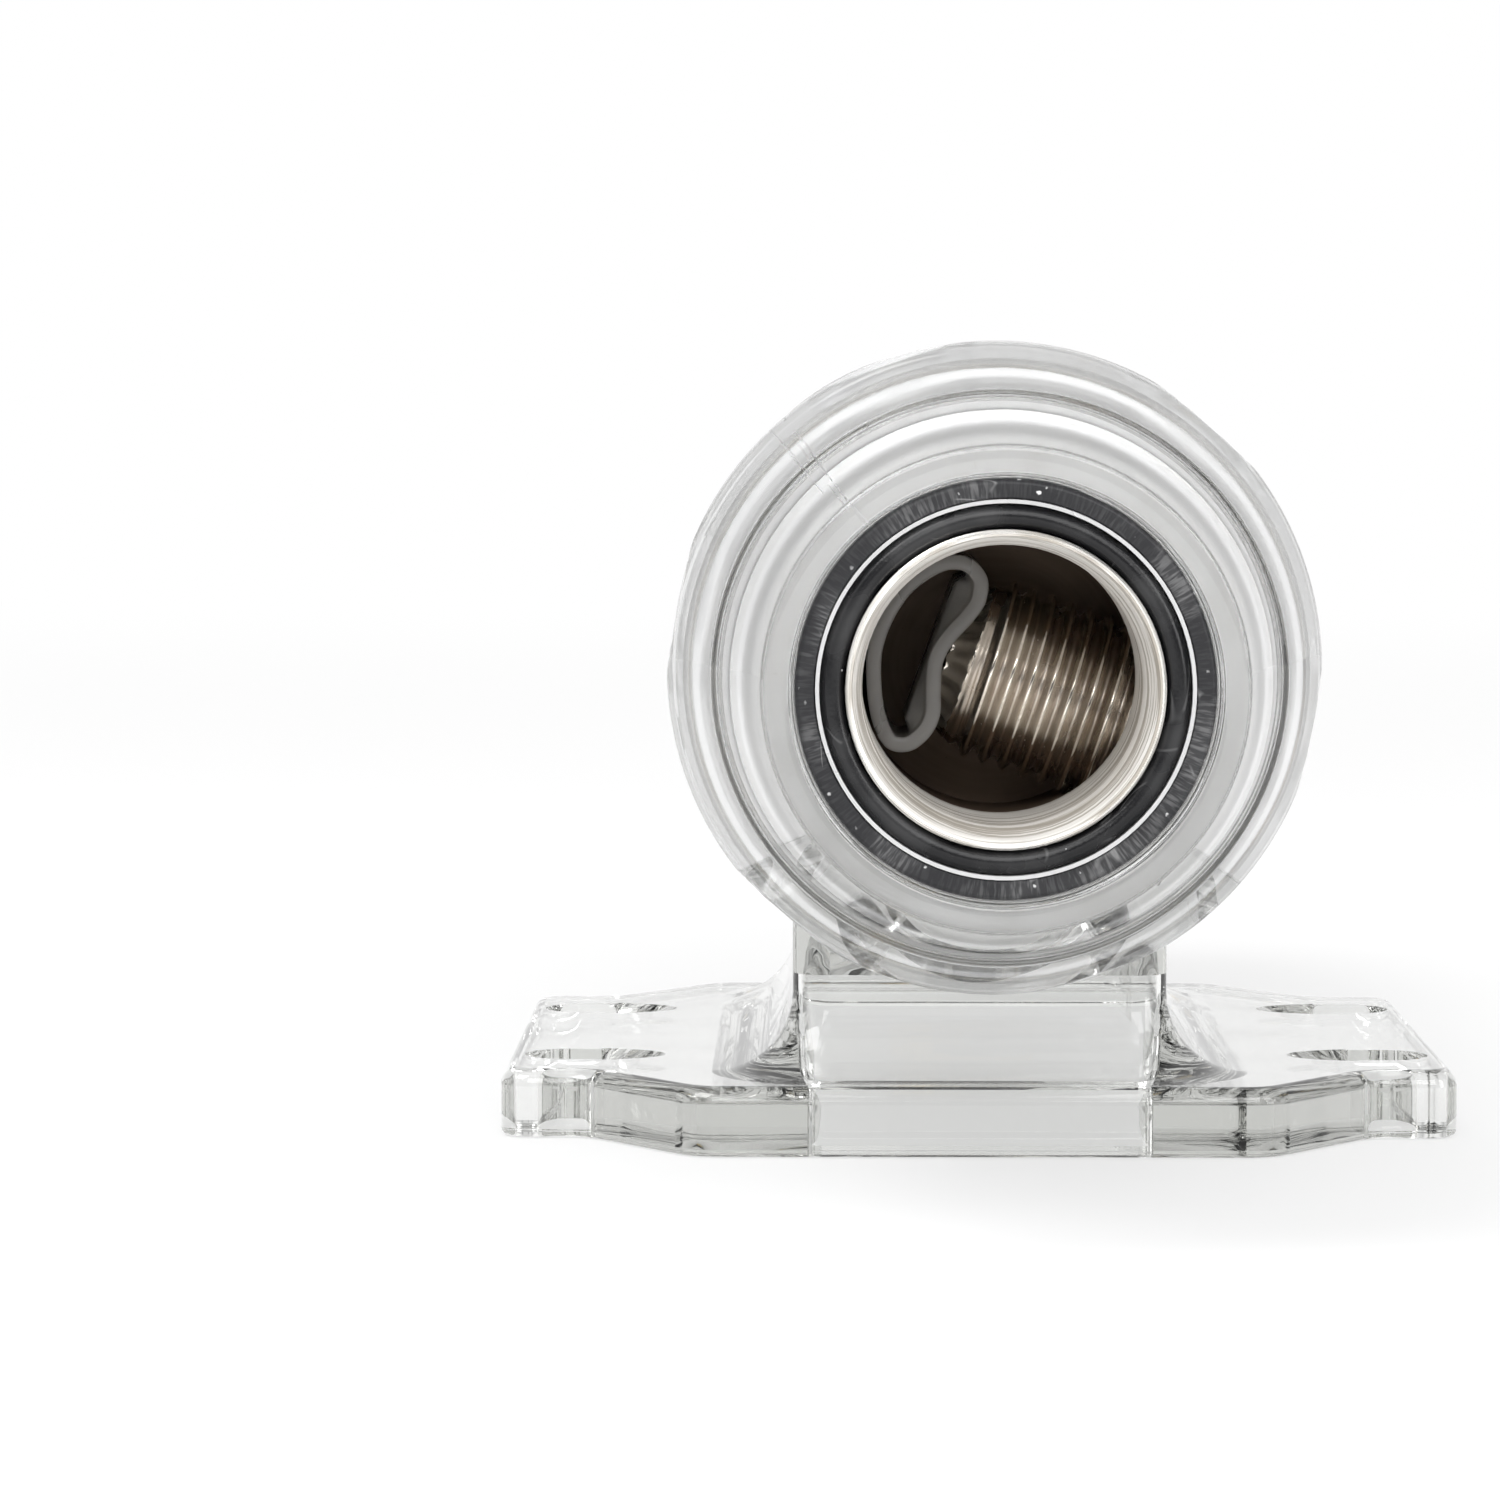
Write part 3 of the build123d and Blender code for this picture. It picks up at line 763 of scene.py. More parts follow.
@dataclass(frozen=True)
class Rubber(Finish):
    """Black rubber with grain, pale scuffs and dust flecks."""

    colour: Colour = (0.018, 0.018, 0.02, 1.0)
    dust: Colour = (0.62, 0.62, 0.62, 1.0)
    roughness: float = 0.42
    shine: float = 0.35
    dust_size: float = 0.12
    dust_patches: float = 0.5
    brushed: float = 0.0
    scuffs: float = 0.22
    grain_scale: float = 5200.0
    dust_scale: float = 1100.0
    scuff_scale: float = 220.0
    scuff_width: float = 0.006
    wear_range: tuple[float, float] = (0.42, 0.62)
    wear_and_shade: float = 0.03
    gloss_drift: float = 0.18
    dust_height: float = 1.6
    brush_height: float = 8.0
    grain_depth: float = 0.000012

    def fill(self, sheet: Sheet, shader: Node, where: Socket) -> None:
        """Dark body, greyer where scuffed, with pale flecks.

        Args:
            sheet: the material's tree.
            shader: the Principled shader.
            where: Object coordinates, in metres.
        """
        grain = sheet.place(Grain(), Vector=where, Scale=self.grain_scale)
        dust = sheet.place(
            Flecks(), Vector=where, Scale=self.dust_scale, Size=self.dust_size, Patches=self.dust_patches
        ).outputs["Mask"]
        lines = sheet.place(Scratches(), Vector=where, Scale=self.scuff_scale, Width=self.scuff_width)
        brush = sheet.place(BrushMarks(), Vector=where).outputs["Mask"]
        worn_and_shaded = sheet.spread(grain.outputs["Mottle"], *self.wear_range, 0.0, 1.0)
        worn_and_shaded = sheet.times(worn_and_shaded, self.wear_and_shade)
        worn_and_shaded = sheet.plus(worn_and_shaded, sheet.times(brush, self.brushed))
        pale = sheet.maths("MAXIMUM", dust, sheet.times(lines.outputs["Mask"], self.scuffs))
        share = sheet.plus(pale, worn_and_shaded, clamp=True)
        colour = sheet.blend(share, self.colour, self.dust)
        drift = sheet.times(grain.outputs["Mottle"], self.gloss_drift)
        rough = sheet.plus(drift, self.roughness - self.gloss_drift / 2)
        sheet.wire(shader, Base_Color=colour, Roughness=rough, Specular_IOR_Level=self.shine)
        height = sheet.plus(grain.outputs["Height"], sheet.times(dust, self.dust_height))
        strokes = sheet.times(brush, self.brushed * self.brush_height)
        self.bump(sheet, shader, sheet.plus(height, strokes), self.grain_depth)


@dataclass(frozen=True)
class MetalLook:
    """What a metal's colour, metal share, roughness and strength of turning marks are fed with."""

    colour: Socket
    metal: Socket | float
    rough: Socket
    marks: Socket | float


@dataclass(frozen=True)
class Plating(Finish):
    """Plated metal, either turned about the barrel axis or plain, with specks and tarnish, and painted shade
    in recesses where the piece carries it.
    """

    colour: Colour = (0.79, 0.76, 0.71, 1.0)
    tarnish: Colour = (0.36, 0.30, 0.23, 1.0)
    roughness: float = 0.2
    marks: float = 0.5
    mark_depth: float = 0.000012
    rings: float = 7000.0
    tarnish_share: float = 0.5
    tarnish_range: tuple[float, float] = (0.46, 0.66)
    pits: float = 0.1
    pit_scale: float = 2100.0
    pit_patches: float = 0.47
    pit_shade: float = 0.8
    pit_rough: float = 0.3
    pit_depth: float = 0.5
    grain_scale: float = 6000.0
    grain_height: float = 0.16
    gloss_drift: float = 0.16
    ring_gloss: float = 0.12
    # Painted shade for recesses: its colour, the roughness that it adds, and whether the piece's painted shade
    # attribute is used.
    recess_shade: Colour = (0.17, 0.12, 0.085, 1.0)
    recess_shade_rough: float = 0.35
    has_recess_shade: bool = False

    def fill(self, sheet: Sheet, shader: Node, where: Socket) -> None:
        """Metal whose colour drifts to its tarnish, with rings, pits and fine grain.

        Args:
            sheet: the material's tree.
            shader: the Principled shader.
            where: Object coordinates, in metres.
        """
        centre = sheet.wire(sheet.add("Mapping"), Vector=where, Location=(0.0, 0.0, -FRAME.axis_height))
        rings = sheet.place(TurningMarks(), Vector=centre.outputs[0], Rings=self.rings)
        grain = sheet.place(Grain(), Vector=where, Scale=self.grain_scale)
        pits = sheet.place(
            Flecks(), Vector=where, Scale=self.pit_scale, Size=self.pits, Patches=self.pit_patches
        ).outputs["Mask"]
        stain = sheet.spread(grain.outputs["Mottle"], *self.tarnish_range, 0.0, self.tarnish_share)
        dark = sheet.maths("MAXIMUM", stain, sheet.times(pits, self.pit_shade))
        colour = sheet.blend(dark, self.colour, self.tarnish)
        drift = sheet.times(rings.outputs["Shade"], self.ring_gloss * self.marks)
        slow = sheet.times(grain.outputs["Mottle"], self.gloss_drift)
        rough = sheet.plus(sheet.plus(drift, slow), self.roughness - self.gloss_drift / 2)
        rough = sheet.plus(rough, sheet.times(pits, self.pit_rough))
        look = self.wear_and_shade(sheet, where, MetalLook(colour, 1.0, rough, self.marks))
        sheet.wire(shader, Base_Color=look.colour, Metallic=look.metal, Roughness=look.rough)
        height = sheet.times(rings.outputs["Height"], look.marks)
        fine = sheet.times(grain.outputs["Height"], self.grain_height)
        height = sheet.plus(height, fine)
        height = sheet.minus(height, sheet.times(pits, self.pit_depth))
        self.bump(sheet, shader, height, self.mark_depth)

    def wear_and_shade(self, sheet: Sheet, where: Socket, look: MetalLook) -> MetalLook:
        """Paints shade into the metal and dulls it where the piece's painted shade attribute says so.

        Args:
            sheet: the material's tree.
            where: Object coordinates, in metres.
            look: the clean metal.

        Returns:
            The metal with its painted shade.
        """
        if not self.has_recess_shade:
            return look
        hidden = sheet.add("Attribute", attribute_name="recess_shade").outputs["Fac"]
        colour = sheet.blend(hidden, look.colour, self.recess_shade)
        rough = sheet.plus(look.rough, sheet.times(hidden, self.recess_shade_rough))
        return MetalLook(colour, look.metal, rough, look.marks)


@dataclass(frozen=True)
class TerminalPlating(Plating):
    """Plating of a terminal: fresh in the bore's mouth with painted shade in its turning grooves, painted
    shade deep in the bore, dull on the shoulder.
    """

    bore_edge: float = 51.7 * MM
    bore_floor: float = 41.9 * MM
    bore_radius: float = 6.95 * MM
    mouth_radius: float = 7.2 * MM
    shoulder_radius: float = 8.8 * MM
    edge_slack: float = 0.01 * MM
    fresh: Colour = (0.88, 0.865, 0.835, 1.0)
    # Painted shade in the mouth's turning grooves: its colour, its ring pattern and its share.
    groove_shade: Colour = (0.26, 0.22, 0.17, 1.0)
    score_scale: float = 560.0
    score_squeeze: float = 0.03
    score_range: tuple[float, float] = (0.5, 0.58)
    groove_shade_share: float = 0.75
    dull: Colour = (0.95, 0.95, 0.94, 1.0)
    dull_share: float = 0.8
    less_metal: tuple[float, float, float] = (0.6, 0.6, 0.2)
    more_rough: tuple[float, float, float] = (0.25, 0.35, 0.35)
    mouth_marks: float = 2.5

    def wear_and_shade(self, sheet: Sheet, where: Socket, look: MetalLook) -> MetalLook:
        """Colours the three zones of the terminal, with painted shade deep in the bore and in the mouth's
        turning grooves.

        Args:
            sheet: the material's tree.
            where: Object coordinates, in metres.
            look: the clean metal.

        Returns:
            The metal with its zones.
        """
        mouth, deep, shoulder = zones = self.zones(sheet, where)
        colour = sheet.blend(mouth, look.colour, self.fresh)
        # Painted shade in the mouth's turning grooves.
        lines = sheet.times(self.bore_lines(sheet, where), mouth)
        colour = sheet.blend(sheet.times(lines, self.groove_shade_share), colour, self.groove_shade)
        # Painted shade deep in the bore, in the recess shade colour.
        colour = sheet.blend(deep, colour, self.recess_shade)
        colour = sheet.blend(sheet.times(shoulder, self.dull_share), colour, self.dull)
        metal: Socket | float = look.metal
        rough: Socket | float = look.rough
        for zone, less, more in zip(zones, self.less_metal, self.more_rough):
            metal = sheet.minus(metal, sheet.times(zone, less))
            rough = sheet.plus(rough, sheet.times(zone, more))
        marks = sheet.plus(look.marks, sheet.times(mouth, self.mouth_marks))
        return MetalLook(colour, metal, rough, marks)

    def bore_lines(self, sheet: Sheet, where: Socket) -> Socket:
        """Uneven rings of painted shade along the bore's mouth, in the grooves that the tool cut.

        Args:
            sheet: the material's tree.
            where: Object coordinates, in metres.

        Returns:
            Mask of the rings.
        """
        along = sheet.vectors("MULTIPLY", where, (self.score_squeeze, 1.0, self.score_squeeze))
        lines = sheet.noise(along.outputs[0], self.score_scale, 5.0, 0.9)
        return sheet.spread(lines, *self.score_range, 0.0, 1.0)

    def zones(self, sheet: Sheet, where: Socket) -> tuple[Socket, Socket, Socket]:
        """Where a terminal is fresh, dark and dull.

        Args:
            sheet: the material's tree.
            where: Object coordinates, in metres.

        Returns:
            Masks of the bore's mouth, the deep bore and the shoulder.
        """
        zone = sheet.place(BarrelZone(), Vector=where)
        radius, ahead = zone.outputs["Radius"], zone.outputs["Ahead"]
        past_edge = sheet.maths("GREATER_THAN", ahead, self.bore_edge - self.edge_slack)
        mouth = sheet.times(past_edge, sheet.maths("LESS_THAN", radius, self.mouth_radius))
        inside = sheet.maths("LESS_THAN", radius, self.bore_radius)
        behind = sheet.times(sheet.minus(1.0, past_edge), inside)
        deep = sheet.times(behind, sheet.maths("GREATER_THAN", ahead, self.bore_floor))
        outside = sheet.maths("GREATER_THAN", radius, self.shoulder_radius)
        return mouth, deep, sheet.times(past_edge, outside)


@dataclass(frozen=True)
class SoftTube(Finish):
    """Soft cloudy plastic."""

    tint: Colour = (0.36, 0.35, 0.335, 1.0)
    pale: Colour = (0.5, 0.49, 0.475, 1.0)
    clearness: float = 0.5
    ior: float = 1.43
    grain_scale: float = 4200.0
    lowest_rough: float = 0.2
    gloss_drift: float = 0.2
    grain_depth: float = 0.000008

    def fill(self, sheet: Sheet, shader: Node, where: Socket) -> None:
        """Cloudy body with a dull skin.

        Args:
            sheet: the material's tree.
            shader: the Principled shader.
            where: Object coordinates, in metres.
        """
        grain = sheet.place(Grain(), Vector=where, Scale=self.grain_scale)
        colour = sheet.blend(grain.outputs["Mottle"], self.tint, self.pale)
        drift = sheet.times(grain.outputs["Mottle"], self.gloss_drift)
        sheet.wire(shader, Base_Color=colour, Roughness=sheet.plus(drift, self.lowest_rough))
        sheet.wire(shader, Transmission_Weight=self.clearness, IOR=self.ior)
        self.bump(sheet, shader, grain.outputs["Height"], self.grain_depth)


@dataclass(frozen=True)
class DullMoulding(Finish):
    """Opaque moulded plastic with a fine grain."""

    colour: Colour = (0.022, 0.022, 0.024, 1.0)
    worn_and_shaded: Colour = (0.07, 0.07, 0.074, 1.0)
    grain_scale: float = 3600.0
    wear_range: tuple[float, float] = (0.45, 0.75)
    wear_and_shade: float = 0.6
    lowest_rough: float = 0.4
    gloss_drift: float = 0.2
    grain_depth: float = 0.00002

    def fill(self, sheet: Sheet, shader: Node, where: Socket) -> None:
        """Dark body with grain and slow wear.

        Args:
            sheet: the material's tree.
            shader: the Principled shader.
            where: Object coordinates, in metres.
        """
        grain = sheet.place(Grain(), Vector=where, Scale=self.grain_scale)
        share = sheet.spread(grain.outputs["Mottle"], *self.wear_range, 0.0, self.wear_and_shade)
        colour = sheet.blend(share, self.colour, self.worn_and_shaded)
        drift = sheet.times(grain.outputs["Height"], self.gloss_drift)
        sheet.wire(shader, Base_Color=colour, Roughness=sheet.plus(drift, self.lowest_rough))
        self.bump(sheet, shader, grain.outputs["Height"], self.grain_depth)


# The body's grey tint is partly the plastic's own tint and partly painted shade, standing in for the shadowed
# floor seen through the plate.
CLEAR_BODY = ClearMoulding("clear_moulding", tint=(0.93, 0.934, 0.926, 1.0), density=20.0, thread_dull=0.2)
CLEAR_CAP = ClearMoulding("clear_cap", density=5.0, thread_dull=0.2, scratched=True)
# The liner is a real ring, but its pale colour paints the bright highlight line round the nose seal.
PALE_LINER_HIGHLIGHT = SoftTube("clear_liner", tint=(0.7, 0.7, 0.7, 1.0), pale=(0.84, 0.84, 0.84, 1.0), clearness=0.4)
CLEAR_PANE = ClearMoulding("clear_pane", tint=(0.9, 0.91, 0.9, 1.0))
MATT_RUBBER = Rubber(
    "black_rubber",
    colour=(0.013, 0.013, 0.015, 1.0),
    roughness=0.44,
    dust_size=0.11,
    dust_patches=0.4,
    brushed=0.12,
)
GLOSSY_RUBBER = Rubber(
    "glossy_rubber", colour=(0.005, 0.005, 0.006, 1.0), roughness=0.27, dust_size=0.07, scuffs=0.08
)
# Terminal plating, with painted shade deep in the bore and in the mouth's turning grooves.
NICKEL_TURNED = TerminalPlating(
    "nickel_plate",
    colour=(0.86, 0.84, 0.80, 1.0),
    tarnish=(0.5, 0.45, 0.37, 1.0),
    marks=1.0,
    mark_depth=0.00001,
    tarnish_share=0.4,
    pits=0.12,
)
# Screw plating that takes painted shade in its recesses from the piece's attribute.
NICKEL_SCREW = Plating(
    "nickel_screw", colour=(0.86, 0.81, 0.74, 1.0), roughness=0.12, marks=0.0, pits=0.08, has_recess_shade=True
)
ZINC_STEEL = Plating(
    "zinc_steel", colour=(0.74, 0.74, 0.75, 1.0), tarnish=(0.45, 0.44, 0.43, 1.0), marks=0.0
)
GOLD = Plating(
    "gold_plate", colour=(0.93, 0.72, 0.36, 1.0), tarnish=(0.78, 0.55, 0.25, 1.0), roughness=0.14, marks=0.0
)
RIVET_BRASS = Plating(
    "rivet_brass", colour=(0.62, 0.52, 0.32, 1.0), tarnish=(0.3, 0.24, 0.14, 1.0), marks=0.0
)
TUBE = SoftTube("soft_clear_tube", tint=(0.26, 0.25, 0.24, 1.0), pale=(0.4, 0.39, 0.375, 1.0))
HOUSING = DullMoulding("black_housing")


@dataclass
class SubAssembly:
    """A group of pieces that are dressed together."""

    nodes: dict[str, bpy.types.Object]

    def build(self) -> None:
        """Builds and dresses the pieces."""
        raise NotImplementedError

    def dress(self, stem_finish: dict[str, Finish], ends: tuple[End, ...] = ()) -> None:
        """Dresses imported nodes.

        Args:
            stem_finish: finish of each node, or of each stem where ends are given.
            ends: the ends whose nodes are dressed.
        """
        for stem, finish in stem_finish.items():
            names = [end.node(stem) for end in ends] or [stem]
            finish.dress(*(self.nodes[name] for name in names))
            log.info("dressed %s with %s", ", ".join(names), finish.name)

    def stand_in(self, piece: bpy.types.Object, finish: Finish, node: str, body: str, slot: str) -> None:
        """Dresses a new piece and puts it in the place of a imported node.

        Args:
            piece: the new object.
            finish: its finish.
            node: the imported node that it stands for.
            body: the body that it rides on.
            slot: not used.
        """
        finish.dress(piece)
        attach(piece, body)
        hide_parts(node)
        log.info("built %s for %s, %d vertices", piece.name, node, len(piece.data.vertices))


@dataclass
class Moulding(SubAssembly):
    """The clear base, neck and barrel."""

    def build(self) -> None:
        """Dresses the clear moulding."""
        self.dress({"holder_body": CLEAR_BODY})


@dataclass
class GlandRing(SubAssembly):
    """Outer rubber ring in the cap's mouth: crowned face, soft outer bevel.

    The waver of its face is a sum of sines. Each has waves to a turn, a height and a start.
    """

    end: End = End.FRONT
    inner: float = 8.805 * MM
    outer: float = 9.725 * MM
    front: float = 64.3 * MM
    back: float = 53.1 * MM
    bevel: float = 0.26 * MM
    lip: float = 0.08 * MM
    bevel_stretch: float = 1.3
    ripple: float = 0.012 * MM
    waver_mean: float = 2.0
    waver: tuple[tuple[float, float, float], ...] = ((3.0, 1.0, 0.7), (7.0, 0.6, 2.1), (17.0, 0.4, 0.0))
    around: int = 360

    def ring(self) -> np.ndarray:
        """Grid of the ring: its section carried round the barrel axis, with a slight waver of the bevel.

        Returns:
            Array (rows, around, 3) of a closed ring of rows.
        """
        turn = np.linspace(0.0, math.pi / 2, 7)
        lip_r = self.inner + self.lip * (1.0 - np.sin(turn[::-1]))
        lip_y = self.front - self.lip * (1.0 - np.cos(turn[::-1]))
        bevel_r = self.outer - self.bevel * (1.0 - np.sin(turn))
        bevel_y = self.front - self.bevel * self.bevel_stretch * (1.0 - np.cos(turn))
        back_r = [self.outer, self.outer - self.lip, self.inner + self.lip]
        back_y = [self.back + self.lip, self.back, self.back]
        radius = np.concatenate([[self.inner], lip_r, bevel_r, back_r])[:, None]
        ahead = np.concatenate([[self.back + self.lip], lip_y, bevel_y, back_y])[:, None]
        angle = whole_turn(self.around)
        sines = [high * np.sin(waves * angle + start) for waves, high, start in self.waver]
        waver = sum(sines) - self.waver_mean
        near_front = smooth_step((ahead - self.front + 2 * self.bevel) / self.bevel)
        dips = near_front * waver * self.ripple
        return about_axis(radius, ahead + dips, angle)

    def build(self) -> None:
        """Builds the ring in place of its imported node."""
        side = self.end.value
        points = FRAME.in_barrel(self.ring(), self.end)
        piece = surface(f"gland_ring_{side}", points, wrap_rows=True, crease_deg=60.0)
        self.stand_in(piece, MATT_RUBBER, self.end.node("gland_seal"), f"gland_{side}", "black_rubber")


@dataclass
class ScrewCap(SubAssembly):
    """Clear screw cap: cone with a small shoulder, crest with grip hollows, and a coarse inside thread."""

    end: End = End.FRONT
    face: float = 64.5 * MM
    tail: float = 31.5 * MM
    mouth: float = 9.76 * MM
    mouth_edge: float = 0.6 * MM
    lip_width: float = 1.5 * MM
    lip_edge: float = 0.3 * MM
    crease_ahead: float = 54.3 * MM
    crease_radius: float = 13.48 * MM
    shoulder: float = 0.34 * MM
    shoulder_run: float = 0.119 * MM
    shoulder_edge: float = 0.16 * MM
    crest_ahead: float = 45.3 * MM
    crest_radius: float = 16.148 * MM
    crest_edge: float = 0.23 * MM
    chamfer: float = 0.6 * MM
    chamfer_edge: float = 0.1 * MM
    seat_ahead: float = 53.2 * MM
    seat_radius: float = 12.4 * MM
    thread_stop: float = 47.0 * MM
    thread_radius: float = 14.1 * MM
    thread_height: float = 0.22 * MM
    thread_flank: float = 7.0
    thread_crest: float = 1.9
    thread_start: float = 2.0 * MM
    thread_end: float = 1.5 * MM
    pitch: float = 3.0 * MM
    grips: int = 6
    first_grip: float = math.radians(49.0)
    grip_chord: float = 9.4 * MM
    grip_depth: float = 1.2 * MM
    grip_length: float = 12.2 * MM
    grip_past_crest: float = 1.5 * MM
    grip_edge: float = 0.07 * MM
    around: int = 432
    longest: float = 0.31 * MM

    def hollows(self, ahead: np.ndarray, angle: np.ndarray) -> np.ndarray:
        """Radius of the grip hollows, each cut by a drum that lies across the cap's outside.

        The drum's middle is c from the axis, and its radius R shrinks away from its own middle. A ray from
        the axis at an angle d to it meets the drum at c cos d - sqrt(R^2 - c^2 sin^2 d).

        Args:
            ahead: distance ahead of the barrel's middle.
            angle: direction about the barrel axis.

        Returns:
            Radii, very large where there is no hollow.
        """
        half = self.grip_chord / 2
        sag = self.grip_depth - (self.crest_radius - math.sqrt(self.crest_radius**2 - half**2))
        across = (half**2 + sag**2) / (2 * sag)
        along = ((self.grip_length / 2) ** 2 + self.grip_depth**2) / (2 * self.grip_depth)
        away = ahead - self.crest_ahead - self.grip_past_crest + self.grip_length / 2
        away = np.clip(away, -0.99 * along, 0.99 * along)
        drum = across - (along - np.sqrt(along**2 - away**2))
        middle = self.crest_radius - self.grip_depth + across
        turn = 2 * math.pi / self.grips
        off = (angle - self.first_grip + turn / 2) % turn - turn / 2
        inside = drum**2 - (middle * np.sin(off)) ** 2
        met = middle * np.cos(off) - np.sqrt(np.maximum(inside, 0.0))
        return np.where(inside > 0.0, met, 1.0)

    def outside(self, angle: np.ndarray) -> tuple[np.ndarray, np.ndarray]:
        """Outside of the cap, from its seat through the mouth to the tail, with the grip hollows.

        Args:
            angle: directions about the barrel axis.

        Returns:
            Distance ahead of each row, and radius of each point.
        """
        shoulder_ahead = self.crease_ahead - self.shoulder_run
        line = rounded(
            (
                (self.seat_ahead, self.mouth, 0.0),
                (self.face, self.mouth, self.mouth_edge),
                (self.face, self.mouth + self.lip_width, self.lip_edge),
                (self.crease_ahead, self.crease_radius, self.shoulder_edge),
                (shoulder_ahead, self.crease_radius + self.shoulder, self.shoulder_edge),
                (self.crest_ahead, self.crest_radius, self.crest_edge),
                (self.tail + self.chamfer, self.crest_radius, self.chamfer_edge),
                (self.tail, self.crest_radius - self.chamfer, 0.0),
            ),
            self.longest,
        )
        ahead, radius = line[:, :1], line[:, 1:]
        hollow = self.hollows(ahead, angle)
        share = np.clip(0.5 + 0.5 * (hollow - radius) / self.grip_edge, 0.0, 1.0)
        blended = np.minimum(hollow, 1.0) * (1.0 - share) + radius * share
        blended = blended - self.grip_edge * share * (1.0 - share)
        return ahead, np.where(share >= 1.0, radius, blended)

    def inside(self, angle: np.ndarray) -> tuple[np.ndarray, np.ndarray]:
        """Inside of the cap, from the tail over its helical thread to the seat.

        Args:
            angle: directions about the barrel axis.

        Returns:
            Distance ahead of each row, and radius of each point.
        """
        ends = ((self.tail, self.thread_radius, 0.0), (self.thread_stop, self.thread_radius, 0.0))
        level = rounded(ends, self.longest)[:, :1]
        phase = (level / self.pitch + angle / (2 * math.pi)) % 1.0
        ridge = np.clip(self.thread_crest - np.abs(phase - 0.5) * self.thread_flank, 0.0, 1.0)
        start = smooth_step((level - self.tail - self.thread_start) / MM)
        stop = smooth_step((self.thread_stop - self.thread_end - level) / MM)
        bore = self.thread_radius - self.thread_height * ridge * (start * stop)
        seat = np.array([[self.thread_stop, self.seat_radius], [self.seat_ahead, self.seat_radius]])
        return np.concatenate([level, seat[:, :1]]), np.concatenate([bore, seat[:, 1:] + 0.0 * angle])

    def shell(self) -> np.ndarray:
        """Grid of the cap: the outside from the seat to the tail, then the inside back to the seat.

        Returns:
            Array (rows, around, 3) of a closed ring of rows.
        """
        angle = whole_turn(self.around)
        skin_ahead, skin = self.outside(angle)
        bore_ahead, bore = self.inside(angle)
        return about_axis(np.concatenate([skin, bore]), np.concatenate([skin_ahead, bore_ahead]), angle)

    def build(self) -> None:
        """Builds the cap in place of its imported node."""
        side = self.end.value
        points = FRAME.in_barrel(self.shell(), self.end)
        piece = surface(f"screw_cap_{side}", points, wrap_rows=True, crease_deg=35.0)
        self.stand_in(piece, CLEAR_CAP, self.end.node("end_cap"), f"cap_{side}", "clear_cap")


@dataclass
class CapEnd(SubAssembly):
    """A screw cap with the rings in its mouth."""

    end: End = End.FRONT

    def build(self) -> None:
        """Builds the cap and dresses its rings."""
        ScrewCap(self.nodes, self.end).build()
        # The liner's pale colour paints the highlight line round the nose seal.
        rings = {"cap_ring": MATT_RUBBER, "seal_liner": PALE_LINER_HIGHLIGHT, "nose_seal": GLOSSY_RUBBER}
        self.dress(rings, (self.end,))
        GlandRing(self.nodes, self.end).build()


@dataclass(frozen=True)
class Band:
    """Some rows of a turned piece: radius, height and painted shade of each point."""

    radius: np.ndarray
    height: np.ndarray
    recess_shade: np.ndarray


